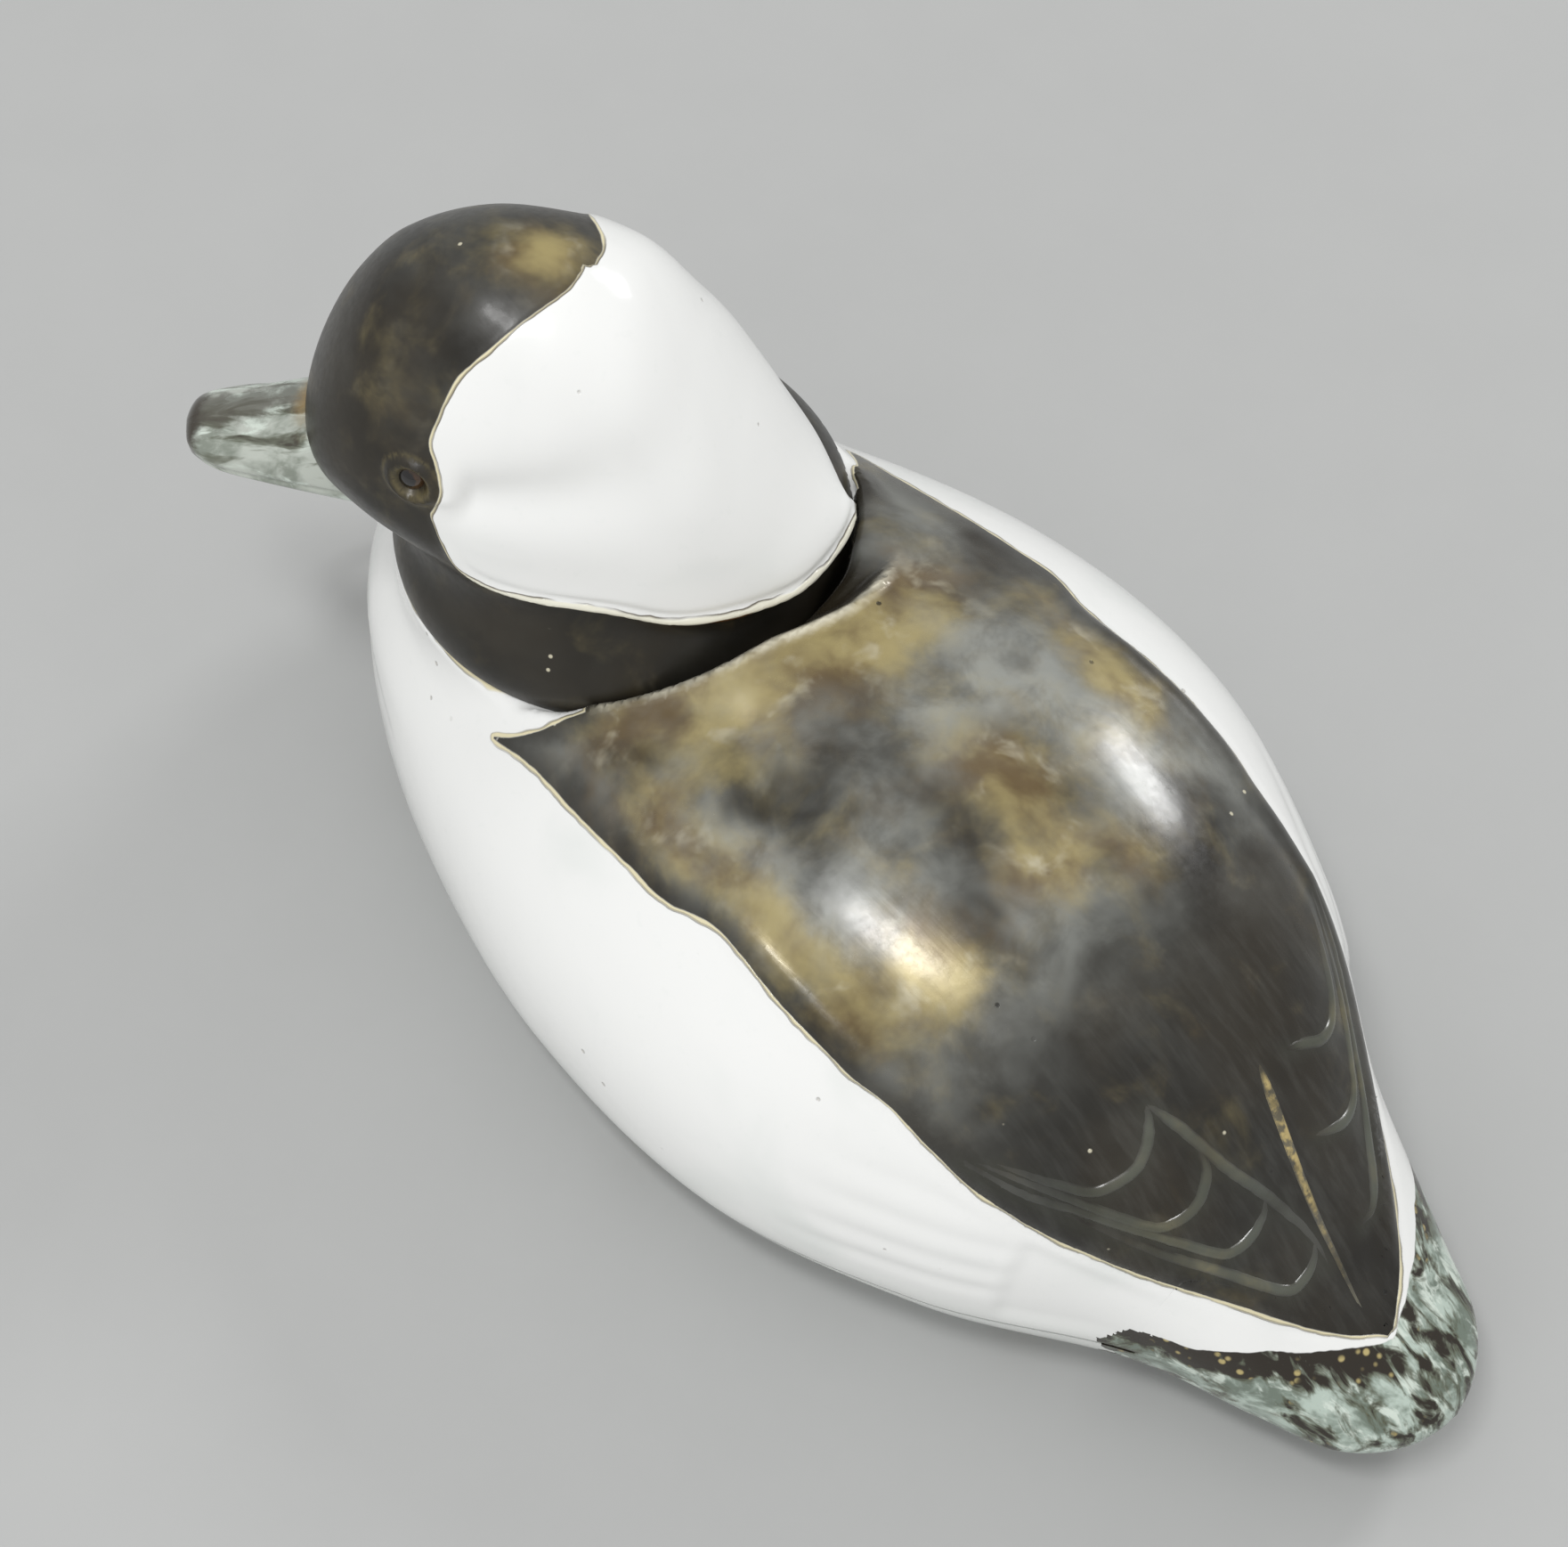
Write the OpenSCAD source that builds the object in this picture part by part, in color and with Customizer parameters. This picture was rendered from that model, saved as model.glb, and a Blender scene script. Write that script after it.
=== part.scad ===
// Floating duck decoy: a hollow two-part hull with a let-in tail, a head that turns
// on a neck spindle, a ballast bar in the base and a line tie with a swinging ring.
// Millimetres. +X points to the breast, +Y to the bird's left, +Z up.
// The origin lies on the flat base, below the middle of the back.

/* [Hull] */
// Distance from the origin to the front of the breast
breast_reach = 137.5; // [134:0.5:141]
// Distance from the origin to the tail tip
tail_reach = 130; // [127:0.5:133]
// Greatest width of the hull
hull_width = 138; // [134:1:142]
// Height of the back above the base
hull_height = 85; // [83:0.5:87]
// Height of the top of the bottom shell
seam_height = 20; // [19:0.25:21]
// Thickness of the hull sides around the hollow
side_wall = 18; // [17:0.5:20]
// Thickness of the hull floor
floor_thick = 14; // [13.5:0.25:15]

/* [Seam] */
// Thickness of the seam gasket
gasket_thick = 1; // [0.8:0.1:1.4]
// Width of the gasket band
gasket_width = 13; // [12:0.25:14]
// Set-back of the gasket from the outside of the hull
gasket_inset = 1.5; // [1:0.25:2]
// Radius of the hull screw shanks
screw_r = 1.75; // [1.5:0.05:2]
// Radius of the hull screw heads
screw_head_r = 3.6; // [3.2:0.1:4]
// Height of the hull screw heads
screw_head_h = 2.6; // [2.2:0.1:3]
// Height of the face the hull screw heads pull against
screw_seat = 12.6; // [12.2:0.1:13]
// Length of the hull screws under the head
screw_length = 24; // [20:1:28]
// Distance of the hull screws from the outside of the seam
screw_inset = 8.5; // [8:0.25:9]
// Radius of the locating dowels
dowel_r = 4; // [3:0.25:4.5]
// Length of the locating dowels
dowel_length = 17; // [14:0.5:18]

/* [Neck and head] */
// Neck axis, forward of the origin
neck_x = 87; // [86:0.25:88]
// Neck axis, to the left of the origin
neck_y = -2; // [-3:0.25:-1]
// Radius of the round neck at the seat
neck_r = 43; // [42:0.25:43.5]
// Height of the neck seat
seat_height = 66; // [65:0.25:67]
// Gap between the seat and the underside of the head
seat_gap = 0.3; // [0.3:0.1:0.6]
// Gap around the neck where the back rises behind it
socket_gap = 0.6; // [0.4:0.1:1]
// Turn of the head to the left of straight ahead
head_turn = 40; // [0:5:60]
// Sideways lean of the head
head_lean = 5; // [3:0.5:7]
// Length of the head from the crest to the brow
head_length = 97.5; // [95:0.5:100]
// Greatest width of the head
head_width = 64; // [62:0.5:66]
// Height of the crown above the base
crown_height = 143; // [140:0.5:145]
// Reach of the bill tip in front of the neck axis
bill_reach = 78.5; // [77:0.5:81]
// Width of the bill at its root
bill_width = 24; // [22:0.5:26]
// Height of the bill tip above the base
bill_z = 89; // [87:0.5:91]
// Depth of the bill, as far as its lines reach
bill_depth = 21; // [20:0.5:22]
// Radius of the glass eyes
eye_r = 4.5; // [4:0.1:5]

/* [Neck spindle] */
// Radius of the spindle
spindle_r = 5; // [4:0.25:6]
// Running clearance around the spindle
spindle_fit = 0.05; // [0.02:0.01:0.08]
// Depth of the spindle in the head
spindle_depth = 30; // [24:1:34]
// Outside radius of the bush sleeve
bush_r = 7.5; // [7.25:0.25:8.5]
// Radius of the bush flange
bush_flange_r = 11; // [10:0.25:12]
// Thickness of the bush flange
bush_flange_h = 2; // [1.5:0.25:2.5]
// Outside radius of the friction disc
disc_r = 38; // [34:0.5:40]
// Inside radius of the friction disc
disc_bore_r = 14; // [13.5:0.5:18]
// Thickness of the friction disc
disc_thick = 2; // [1.5:0.25:2.5]
// Play between the friction disc and the head
disc_play = 0.05; // [0.03:0.01:0.1]
// Height of the underside of the neck deck
deck_height = 46; // [45:0.5:48]
// Radius of the nut pocket under the deck
pocket_r = 18; // [15:0.5:19]
// Radius of the deck washer
washer_r = 12; // [11:0.5:13]
// Thickness of the deck washer
washer_thick = 2; // [1.5:0.25:2.5]
// Outside radius of the disc springs
spring_r = 10.5; // [9.5:0.25:11.5]
// Thickness of one disc spring
spring_thick = 1.6; // [1.2:0.1:1.8]
// Free height of one disc spring
spring_height = 2.7; // [2.4:0.1:3]
// Height of the lock nut
nut_height = 8; // [6:0.5:9]
// Radius of the lock nut over its corners
nut_r = 9.8; // [9:0.1:11]
// Length of the spindle below the lock nut
spindle_tail = 3; // [2:0.5:4]

/* [Tail] */
// Distance from the origin to the point of the tail joint
tail_joint = 112; // [110:0.5:113]
// Radius of the tail dowels
tail_dowel_r = 2.5; // [2:0.25:2.75]
// Length of the tail dowels
tail_dowel_length = 20; // [16:0.5:21]

/* [Ballast and line tie] */
// Length of the ballast bar
ballast_length = 60; // [50:1:62]
// Width of the ballast bar
ballast_width = 28; // [24:0.5:30]
// Thickness of the ballast bar
ballast_thick = 8; // [7:0.25:8.5]
// Distance from the origin back to the ballast bar
ballast_setback = 10; // [9:0.5:12]
// Distance of the ballast screws from the ends of the bar
ballast_screw_inset = 11.4; // [9:0.2:14]
// Radius of the line tie wire
tie_wire_r = 1.2; // [1:0.05:1.3]
// Radius of the line tie loop to the middle of its wire
tie_loop_r = 4; // [3.8:0.1:4.4]
// Radius of the ring wire
ring_wire_r = 1.1; // [0.9:0.05:1.2]
// Radius of the ring to the middle of its wire
ring_r = 6.5; // [6.3:0.1:7]

/* [Hidden] */
$fn = 48;

// Clearance around glued pegs, screws and inlaid pieces
fit = 0.1;
// Clearance around the ballast bar
ballast_gap = 0.3;
// Large size used for cutting
big = 400;

// Hull lines, each as [station, share]: the station runs from breast to tail
hull_plan = [[0, 0], [0.1, 0.348], [0.2, 0.609], [0.31, 0.84], [0.42, 1], [0.53, 1],
  [0.63, 0.783], [0.72, 0.486], [0.8, 0.355], [0.88, 0.254], [1, 0]];
hull_top = [[0, 0.518], [0.12, 0.682], [0.25, 0.776], [0.37, 0.906], [0.47, 1], [0.565, 0.976],
  [0.665, 0.824], [0.755, 0.541], [0.83, 0.353], [0.92, 0.27], [1, 0.2]];
hull_wide = [[0, 0.518], [0.2, 0.294], [0.5, 0.341], [0.72, 0.27], [0.85, 0.2], [1, 0.2]];
hull_low = [[0, 0.518], [0.16, 0.094], [0.3, -0.07], [0.6, -0.07], [0.75, 0.012],
  [0.85, 0.094], [1, 0.2]];
hull_upper_power = 2.2;
hull_lower_power = 2.4;
hull_steps = 44;
hull_sides = 44;

// Hollow of the hull
hollow_front = 0.24;
hollow_rear = 0.69;
hollow_roof = [[0.24, 0.4], [0.32, 0.52], [0.42, 0.74], [0.52, 0.8], [0.6, 0.74], [0.69, 0.5]];
hollow_mid = 26;
hollow_low = 6;
hollow_upper_power = 2.4;
hollow_lower_power = 3;
hollow_taper = 0.4;
hollow_steps = 22;
hollow_sides = 32;

// Head lines in shares of the head width and in shares of the crown height
head_plan = [[0, 0], [0.11, 0.44], [0.195, 0.67], [0.272, 0.83], [0.385, 0.97], [0.484, 1],
  [0.581, 0.975], [0.648, 0.92], [0.711, 0.8], [0.805, 0.535], [0.9, 0.19], [1, 0]];
head_shift = [[0, 0], [0.4, 0], [0.6, 0.0125], [0.75, 0.081], [0.88, 0.1125], [1, 0]];
head_top = [[0, 0.706], [0.11, 0.797], [0.195, 0.881], [0.272, 0.948], [0.385, 1], [0.484, 1],
  [0.529, 0.986], [0.581, 0.953], [0.648, 0.872], [0.711, 0.783], [0.805, 0.672], [0.9, 0.606],
  [1, 0.577]];
head_wide = [[0, 0.706], [0.195, 0.734], [0.3, 0.72], [0.4, 0.685], [0.58, 0.636],
  [0.71, 0.594], [1, 0.577]];
head_low = [[0, 0.706], [0.11, 0.601], [0.195, 0.559], [0.4, 0.524], [0.8, 0.524], [1, 0.577]];
head_lower_power = [[0, 1.6], [0.2, 1.5], [0.35, 1.8], [0.5, 2.4], [1, 2.4]];
head_steps = 36;
head_sides = 40;
crest_reach = 42;
lean_height = 108;
head_offset = 1;
neck_rise = 23.7;
neck_taper = 16.9;
neck_steps = [[0, 0], [0.24, 0.112], [0.494, 0.379], [0.747, 0.675], [1, 1]];
neck_slant_x = 0.16;
neck_slant_y = 0.19;

// Bill lines, from its tip back to the root let into the face, in shares of width and depth
bill_plan = [[0, 0], [0.14, 0.37], [0.3, 0.585], [0.45, 0.7], [0.7, 0.82], [1, 1]];
bill_bend = [[0, 0], [0.14, 0.2], [0.3, 0.45], [0.45, 0.7], [0.7, 1], [1, 1.3]];
bill_top = [[0, 0], [0.14, 0.124], [0.3, 0.238], [0.45, 0.333], [0.62, 0.452], [0.75, 0.571],
  [1, 0.714]];
bill_wide = [[0, 0], [0.3, 0], [0.6, 0.024], [1, 0.095]];
bill_low = [[0, 0], [0.14, -0.1], [0.3, -0.143], [0.5, -0.19], [1, -0.286]];
bill_power = 2.2;
bill_root = 44;
bill_drift = 2;
bill_steps = 18;
bill_crowding = 1.4;
bill_sides = 28;
bill_dowel_r = 2.5;
bill_dowel_length = 28;
bill_dowel_start = 34;
bill_dowel_z = 92;

// Glass eyes in the head's own lines
eye_x = 32.3;
eye_y = 26.2;
eye_z = 114.5;
eye_tilt = 75;
eye_swing = 69;
eye_inset = 1.2;
eye_stem_r = 1.6;
eye_stem_length = 12;
eye_stem_overlap = 2;

// Stump of the neck on the hull
stump_foot = 42;
stump_flare = 4;
stump_flare_height = 12;

// Stations where the gasket starts and ends
gasket_first = 0.2;
gasket_last = 0.715;
gasket_steps = 40;

// Derived heights of the neck joint
head_base = seat_height + seat_gap;
socket_r = neck_r + socket_gap;
deck_washer_z = deck_height - washer_thick;
spring_z = deck_washer_z - 2 * spring_height;
nut_z = spring_z - nut_height;
spindle_end = nut_z - spindle_tail;
disc_z = head_base - disc_play - disc_thick;

// Hull screws and dowels
upper_z = seam_height + gasket_thick;
screw_front = 100;
screw_middle = 12;
screw_rear = -62;
screw_x = [screw_front, screw_middle, screw_rear];
slot_width = 1;
slot_depth = 1;
dowel_front = 112;
dowel_front_y = 20;
dowel_rear = -76;
dowel_rear_y = 9;
dowel_spots = [[dowel_front, dowel_front_y], [dowel_front, -dowel_front_y],
  [dowel_rear, dowel_rear_y], [dowel_rear, -dowel_rear_y]];
dowel_low = upper_z - dowel_length / 2;

// Tail joint, seen from above
tail_wing_run = 28;
tail_wing_half = 24;
tail_step_run = 32;
tail_step_half = 60;
tail_dowel_y = 13;
tail_dowel_z = 27;
tail_dowel_x = -tail_joint + tail_dowel_y * tail_wing_run / tail_wing_half - tail_dowel_length / 2;

// Ballast
ballast_mid = -ballast_setback - ballast_length / 2;
ballast_screw_span = ballast_length - 2 * ballast_screw_inset;
ballast_screw_top = 12.4;

// Line tie
tie_station = 0.092;
tie_tilt = 27.8;
tie_stub = 2.7;
tie_shank = 20;
tie_front = tie_stub + 2 * tie_loop_r;
ring_gap = 0.3;
ring_drop = ring_r - ring_wire_r - tie_wire_r - ring_gap;

// Smooth line through the points of a table
function slope(p, i) =
  let (a = max(i - 1, 0), b = min(i + 1, len(p) - 1))
  (p[b][1] - p[a][1]) / (p[b][0] - p[a][0]);
function cell(p, x) = max([for (k = [0 : len(p) - 2]) if (k == 0 || p[k][0] <= x) k]);
function blend(a, b, ma, mb, h, t) =
  (2 * pow(t, 3) - 3 * t * t + 1) * a + (pow(t, 3) - 2 * t * t + t) * h * ma
  + (3 * t * t - 2 * pow(t, 3)) * b + (pow(t, 3) - t * t) * h * mb;
function curve(p, x) =
  let (i = cell(p, x), h = p[i + 1][0] - p[i][0])
  blend(p[i][1], p[i + 1][1], slope(p, i), slope(p, i + 1), h, (x - p[i][0]) / h);

// One rounded cross-section, point by point
function bow(v, power) = sign(v) * pow(abs(v), 2 / power);
function rim(x, y, w, top, mid, low, up, down, count) =
  [for (j = [0 : count - 1])
    let (a = 360 * j / count, p = sin(a) < 0 ? down : up)
    [x, y + w * bow(cos(a), p), mid + (sin(a) < 0 ? mid - low : top - mid) * bow(sin(a), p)]];

// Station along a body whose ends are round
function run(u) = (1 - cos(180 * u)) / 2;
function hull_x(u) = breast_reach - (breast_reach + tail_reach) * run(u);
function hull_u(x) = acos(1 - 2 * (breast_reach - x) / (breast_reach + tail_reach)) / 180;
function hull_half(u) = curve(hull_plan, u) * hull_width / 2;
function hull_z(table, u) = curve(table, u) * hull_height;
function hull_rim(u) =
  rim(hull_x(u), 0, hull_half(u), hull_z(hull_top, u), hull_z(hull_wide, u), hull_z(hull_low, u),
    hull_upper_power, hull_lower_power, hull_sides);

// Half width of the hull at a height below its widest line
function hull_side(u, z) =
  let (mid = hull_z(hull_wide, u), low = hull_z(hull_low, u))
  hull_half(u) * pow(1 - pow(max(mid - z, 0) / (mid - low), hull_lower_power), 1 / hull_lower_power);
function screw_y(x) = hull_side(hull_u(x), seam_height) - screw_inset;

// Solid skinned over a row of cross-sections, closed to a point at each end
module skin(front, rims, rear) {
  n = len(rims);
  m = len(rims[0]);
  points = concat([front], [for (r = rims) for (p = r) p], [rear]);
  nose = [for (j = [0 : m - 1]) [0, 1 + (j + 1) % m, 1 + j]];
  sides = [for (i = [0 : n - 2]) for (j = [0 : m - 1]) for (half = [0, 1])
    let (a = 1 + i * m + j, b = 1 + i * m + (j + 1) % m)
    half == 0 ? [a, b, b + m] : [a, b + m, a + m]];
  last = 1 + n * m;
  stern = [for (j = [0 : m - 1]) [last, last - m + j, last - m + (j + 1) % m]];
  polyhedron(points, concat(nose, sides, stern));
}

module hull_form() {
  skin([hull_x(0), 0, hull_z(hull_wide, 0)],
    [for (i = [1 : hull_steps - 1]) hull_rim(i / hull_steps)],
    [hull_x(1), 0, hull_z(hull_wide, 1)]);
}

function hollow_u(t) = hollow_front + (hollow_rear - hollow_front) * t;
function hollow_half(t) = (hull_half(hollow_u(t)) - side_wall) * pow(sin(180 * t), hollow_taper);
function hollow_top(t) = hull_z(hollow_roof, hollow_u(t));
module hollow_form() {
  intersection() {
    skin([hull_x(hollow_front), 0, hollow_mid],
      [for (i = [1 : hollow_steps - 1])
        let (t = i / hollow_steps)
        rim(hull_x(hollow_u(t)), 0, hollow_half(t), hollow_top(t), hollow_mid, hollow_low,
          hollow_upper_power, hollow_lower_power, hollow_sides)],
      [hull_x(hollow_rear), 0, hollow_mid]);
    above(floor_thick);
  }
}

module above(z) {
  translate([-big, -big, z])
    cube([2 * big, 2 * big, big]);
}

module at_neck() {
  translate([neck_x, neck_y, 0])
    children();
}

module tail_cut() {
  linear_extrude(big)
    polygon([[-tail_joint, 0], [tail_wing_run - tail_joint, tail_wing_half],
      [tail_step_run - tail_joint, tail_step_half], [-big, tail_step_half],
      [-big, -tail_step_half], [tail_step_run - tail_joint, -tail_step_half],
      [tail_wing_run - tail_joint, -tail_wing_half]]);
}

module neck_stump() {
  at_neck()
    rotate_extrude()
      polygon([[0, stump_foot], [neck_r + stump_flare, stump_foot],
        [neck_r, stump_foot + stump_flare_height], [neck_r, seat_height], [0, seat_height]]);
}

module screw_holes(r, z, h) {
  for (x = screw_x)
    for (side = [-1, 1])
      translate([x, side * screw_y(x), z])
        cylinder(r = r, h = h);
}

module dowel_holes(gap) {
  for (spot = dowel_spots)
    translate([spot[0], spot[1], dowel_low - gap])
      cylinder(r = dowel_r + gap, h = dowel_length + 2 * gap);
}

module tail_pegs(gap) {
  for (side = [-1, 1])
    translate([tail_dowel_x - gap, side * tail_dowel_y, tail_dowel_z])
      rotate([0, 90, 0])
        cylinder(r = tail_dowel_r + gap, h = tail_dowel_length + 2 * gap);
}

module at_tie() {
  translate([hull_x(tie_station), 0, hull_z(hull_low, tie_station)])
    rotate([0, tie_tilt, 0])
      children();
}

module tie_peg(gap) {
  at_tie()
    rotate([0, 90, 0])
      translate([0, 0, -tie_shank - gap])
        cylinder(r = tie_wire_r + gap, h = tie_shank + tie_stub + gap);
}

// Upper half of the hull with the neck stump and the round neck socket
module back_shell() {
  color([0.93, 0.92, 0.88])
    difference() {
      union() {
        intersection() {
          hull_form();
          above(upper_z);
        }
        neck_stump();
      }
      hollow_form();
      tail_cut();
      at_neck() {
        translate([0, 0, seat_height])
          cylinder(r = socket_r, h = big);
        translate([0, 0, disc_z])
          cylinder(r = disc_r + fit, h = big);
        translate([0, 0, seat_height - bush_flange_h - fit])
          cylinder(r = bush_flange_r + fit, h = big);
        cylinder(r = bush_r + fit, h = big);
        cylinder(r = pocket_r, h = deck_height);
      }
      screw_holes(screw_r + fit, 0, screw_seat + screw_length + fit);
      dowel_holes(fit);
      tail_pegs(fit);
      tie_peg(fit);
    }
}

// Lower half of the hull with the flat base and the ballast recess
module bottom_shell() {
  color([0.9, 0.89, 0.84])
    difference() {
      intersection() {
        hull_form();
        linear_extrude(seam_height)
          square(2 * big, center = true);
      }
      hollow_form();
      tail_cut();
      at_neck()
        translate([0, 0, floor_thick])
          cylinder(r = pocket_r, h = big);
      screw_holes(screw_r + 2 * fit, 0, big);
      screw_holes(screw_head_r + 2 * fit, -fit, screw_seat + fit);
      dowel_holes(fit);
      translate([ballast_mid, 0, (ballast_thick + 2 * ballast_gap) / 2 - fit])
        cube([ballast_length + 2 * ballast_gap, ballast_width + 2 * ballast_gap,
          ballast_thick + 2 * ballast_gap + 2 * fit], center = true);
      for (side = [-1, 1])
        translate([ballast_mid + side * ballast_screw_span / 2, 0, 0])
          cylinder(r = screw_r + fit, h = ballast_screw_top + fit);
    }
}

// Flat gasket between the shells, following the seam
function gasket_u(i) = gasket_first + (gasket_last - gasket_first) * i / gasket_steps;
function gasket_edge(inset) =
  [for (i = [0 : gasket_steps]) [hull_x(gasket_u(i)), hull_side(gasket_u(i), seam_height) - inset]];
function mirrored(p) = [for (i = [len(p) - 1 : -1 : 0]) [p[i][0], -p[i][1]]];
module seam_gasket() {
  outer = gasket_edge(gasket_inset);
  inner = [for (p = gasket_edge(gasket_inset + gasket_width))
    if (p[0] < outer[0][0] - gasket_width && p[0] > outer[gasket_steps][0] + gasket_width) p];
  color([0.16, 0.15, 0.14])
    difference() {
      translate([0, 0, seam_height])
        linear_extrude(gasket_thick)
          difference() {
            polygon(concat(outer, mirrored(outer)));
            polygon(concat(inner, mirrored(inner)));
          }
      screw_holes(screw_r + 2 * fit, 0, big);
      dowel_holes(2 * fit);
    }
}

// Wood screws that hold the shells together from below
module hull_screws() {
  color([0.78, 0.62, 0.3])
    for (x = screw_x)
      for (side = [-1, 1])
        translate([x, side * screw_y(x), screw_seat])
          union() {
            cylinder(r = screw_r, h = screw_length);
            translate([0, 0, -screw_head_h])
              difference() {
                cylinder(r = screw_head_r, h = screw_head_h);
                translate([-screw_head_r, -slot_width / 2, -fit])
                  cube([2 * screw_head_r, slot_width, slot_depth + fit]);
              }
          }
}

module locating_dowels() {
  color([0.76, 0.6, 0.4])
    dowel_holes(0);
}

// Tail let into a notch at the stern
module tail_piece() {
  color([0.5, 0.55, 0.5])
    difference() {
      intersection() {
        hull_form();
        tail_cut();
      }
      tail_pegs(fit);
    }
}

module tail_dowels() {
  color([0.76, 0.6, 0.4])
    tail_pegs(0);
}

module ballast_bar() {
  color([0.3, 0.31, 0.33])
    difference() {
      translate([ballast_mid, 0, ballast_gap + ballast_thick / 2])
        cube([ballast_length, ballast_width, ballast_thick], center = true);
      for (side = [-1, 1])
        translate([ballast_mid + side * ballast_screw_span / 2, 0, 0]) {
          cylinder(r = screw_r + fit, h = big);
          cylinder(r = screw_head_r + fit, h = ballast_gap + screw_head_h + 2 * fit);
        }
    }
}

module ballast_screws() {
  color([0.78, 0.62, 0.3])
    for (side = [-1, 1])
      translate([ballast_mid + side * ballast_screw_span / 2, 0, 2 * fit + ballast_gap])
        union() {
          cylinder(r = screw_r, h = ballast_screw_top - 2 * fit - ballast_gap);
          difference() {
            cylinder(r = screw_head_r, h = screw_head_h);
            translate([-screw_head_r, -slot_width / 2, -fit])
              cube([2 * screw_head_r, slot_width, slot_depth + fit]);
          }
        }
}

// Screw eye in the lower breast
module line_tie_eye() {
  color([0.78, 0.62, 0.3])
    union() {
      tie_peg(0);
      at_tie()
        translate([tie_stub + tie_loop_r, 0, 0])
          rotate_extrude()
            translate([tie_loop_r, 0])
              circle(r = tie_wire_r);
    }
}

// Ring that hangs in the screw eye
module line_tie_ring() {
  color([0.78, 0.62, 0.3])
    translate([hull_x(tie_station) + tie_front * cos(tie_tilt), 0,
        hull_z(hull_low, tie_station) - tie_front * sin(tie_tilt) - ring_drop])
      rotate([90, 0, 0])
        rotate_extrude()
          translate([ring_r, 0])
            circle(r = ring_wire_r);
}

// Flanged bush in the neck deck
module neck_bush() {
  color([0.72, 0.52, 0.26])
    at_neck()
      difference() {
        union() {
          translate([0, 0, deck_height])
            cylinder(r = bush_r, h = seat_height - deck_height);
          translate([0, 0, seat_height - bush_flange_h])
            cylinder(r = bush_flange_r, h = bush_flange_h);
        }
        cylinder(r = spindle_r + spindle_fit, h = big);
      }
}

// Leather disc the head turns on
module friction_disc() {
  color([0.36, 0.22, 0.12])
    at_neck()
      translate([0, 0, disc_z])
        difference() {
          cylinder(r = disc_r, h = disc_thick);
          cylinder(r = disc_bore_r, h = 3 * disc_thick, center = true);
        }
}

// Places children in the head's own lines, turned and leaning as posed
module at_head() {
  at_neck()
    rotate([0, 0, head_turn])
      children();
}
module leaning() {
  translate([0, head_offset, lean_height])
    rotate([head_lean, 0, 0])
      translate([0, 0, -lean_height])
        children();
}

function head_x(u) = head_length - crest_reach - head_length * run(u);
function head_rim(u) =
  rim(head_x(u), curve(head_shift, u) * head_width / 2, curve(head_plan, u) * head_width / 2,
    curve(head_top, u) * crown_height, curve(head_wide, u) * crown_height, curve(head_low, u) * crown_height,
    2, curve(head_lower_power, u), head_sides);
module head_form() {
  skin([head_x(0), 0, curve(head_wide, 0) * crown_height],
    [for (i = [1 : head_steps - 1]) head_rim(i / head_steps)],
    [head_x(1), 0, curve(head_wide, 1) * crown_height]);
}

// Round neck that slants to its left as it rises
module neck_form() {
  multmatrix([[1, 0, neck_slant_x, -neck_slant_x * head_base],
    [0, 1, neck_slant_y, -neck_slant_y * head_base], [0, 0, 1, 0], [0, 0, 0, 1]])
    rotate_extrude()
      polygon(concat([[0, head_base]],
        [for (p = neck_steps) [neck_r - neck_taper * p[1], head_base + neck_rise * p[0]]],
        [[0, head_base + neck_rise]]));
}

function bill_share(i) = pow(i / bill_steps, bill_crowding);
function bill_line(table, k) = bill_z + curve(table, k) * bill_depth;
function bill_rim(s, gap) =
  let (k = sqrt(s))
  rim(bill_reach - (bill_reach - bill_root + gap) * s, bill_drift * curve(bill_bend, k),
    curve(bill_plan, k) * bill_width / 2 + gap, bill_line(bill_top, k) + gap,
    bill_line(bill_wide, k), bill_line(bill_low, k) - gap, bill_power, bill_power, bill_sides);
module bill_form(gap) {
  skin([bill_reach + gap, 0, bill_line(bill_wide, 0)],
    [for (i = [1 : bill_steps]) bill_rim(bill_share(i), gap)],
    [bill_root - gap, bill_drift * curve(bill_bend, 1), bill_line(bill_wide, 1)]);
}

module bill_peg(gap) {
  translate([bill_dowel_start - gap, bill_drift, bill_dowel_z])
    rotate([0, 90, 0])
      cylinder(r = bill_dowel_r + gap, h = bill_dowel_length + 2 * gap);
}

module eye_form(side, gap) {
  translate([eye_x, side * eye_y, eye_z])
    rotate([0, eye_tilt, side * eye_swing])
      translate([0, 0, -eye_inset]) {
        sphere(r = eye_r + gap);
        translate([0, 0, -eye_r - eye_stem_length + eye_stem_overlap - gap])
          cylinder(r = eye_stem_r + gap, h = eye_stem_length + gap);
      }
}

// Solid head and neck
module head() {
  color([0.14, 0.11, 0.08])
    at_head()
      difference() {
        union() {
          leaning()
            head_form();
          neck_form();
        }
        leaning() {
          bill_form(fit);
          bill_peg(fit);
          eye_form(1, fit);
          eye_form(-1, fit);
        }
        cylinder(r = spindle_r + spindle_fit, h = head_base + spindle_depth + fit);
      }
}

module bill() {
  color([0.6, 0.66, 0.62])
    at_head()
      leaning()
        difference() {
          bill_form(0);
          bill_peg(fit);
        }
}

module bill_dowel() {
  color([0.76, 0.6, 0.4])
    at_head()
      leaning()
        bill_peg(0);
}

module left_eye() {
  color([0.05, 0.04, 0.03])
    at_head()
      leaning()
        eye_form(1, 0);
}

module right_eye() {
  color([0.05, 0.04, 0.03])
    at_head()
      leaning()
        eye_form(-1, 0);
}

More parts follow.
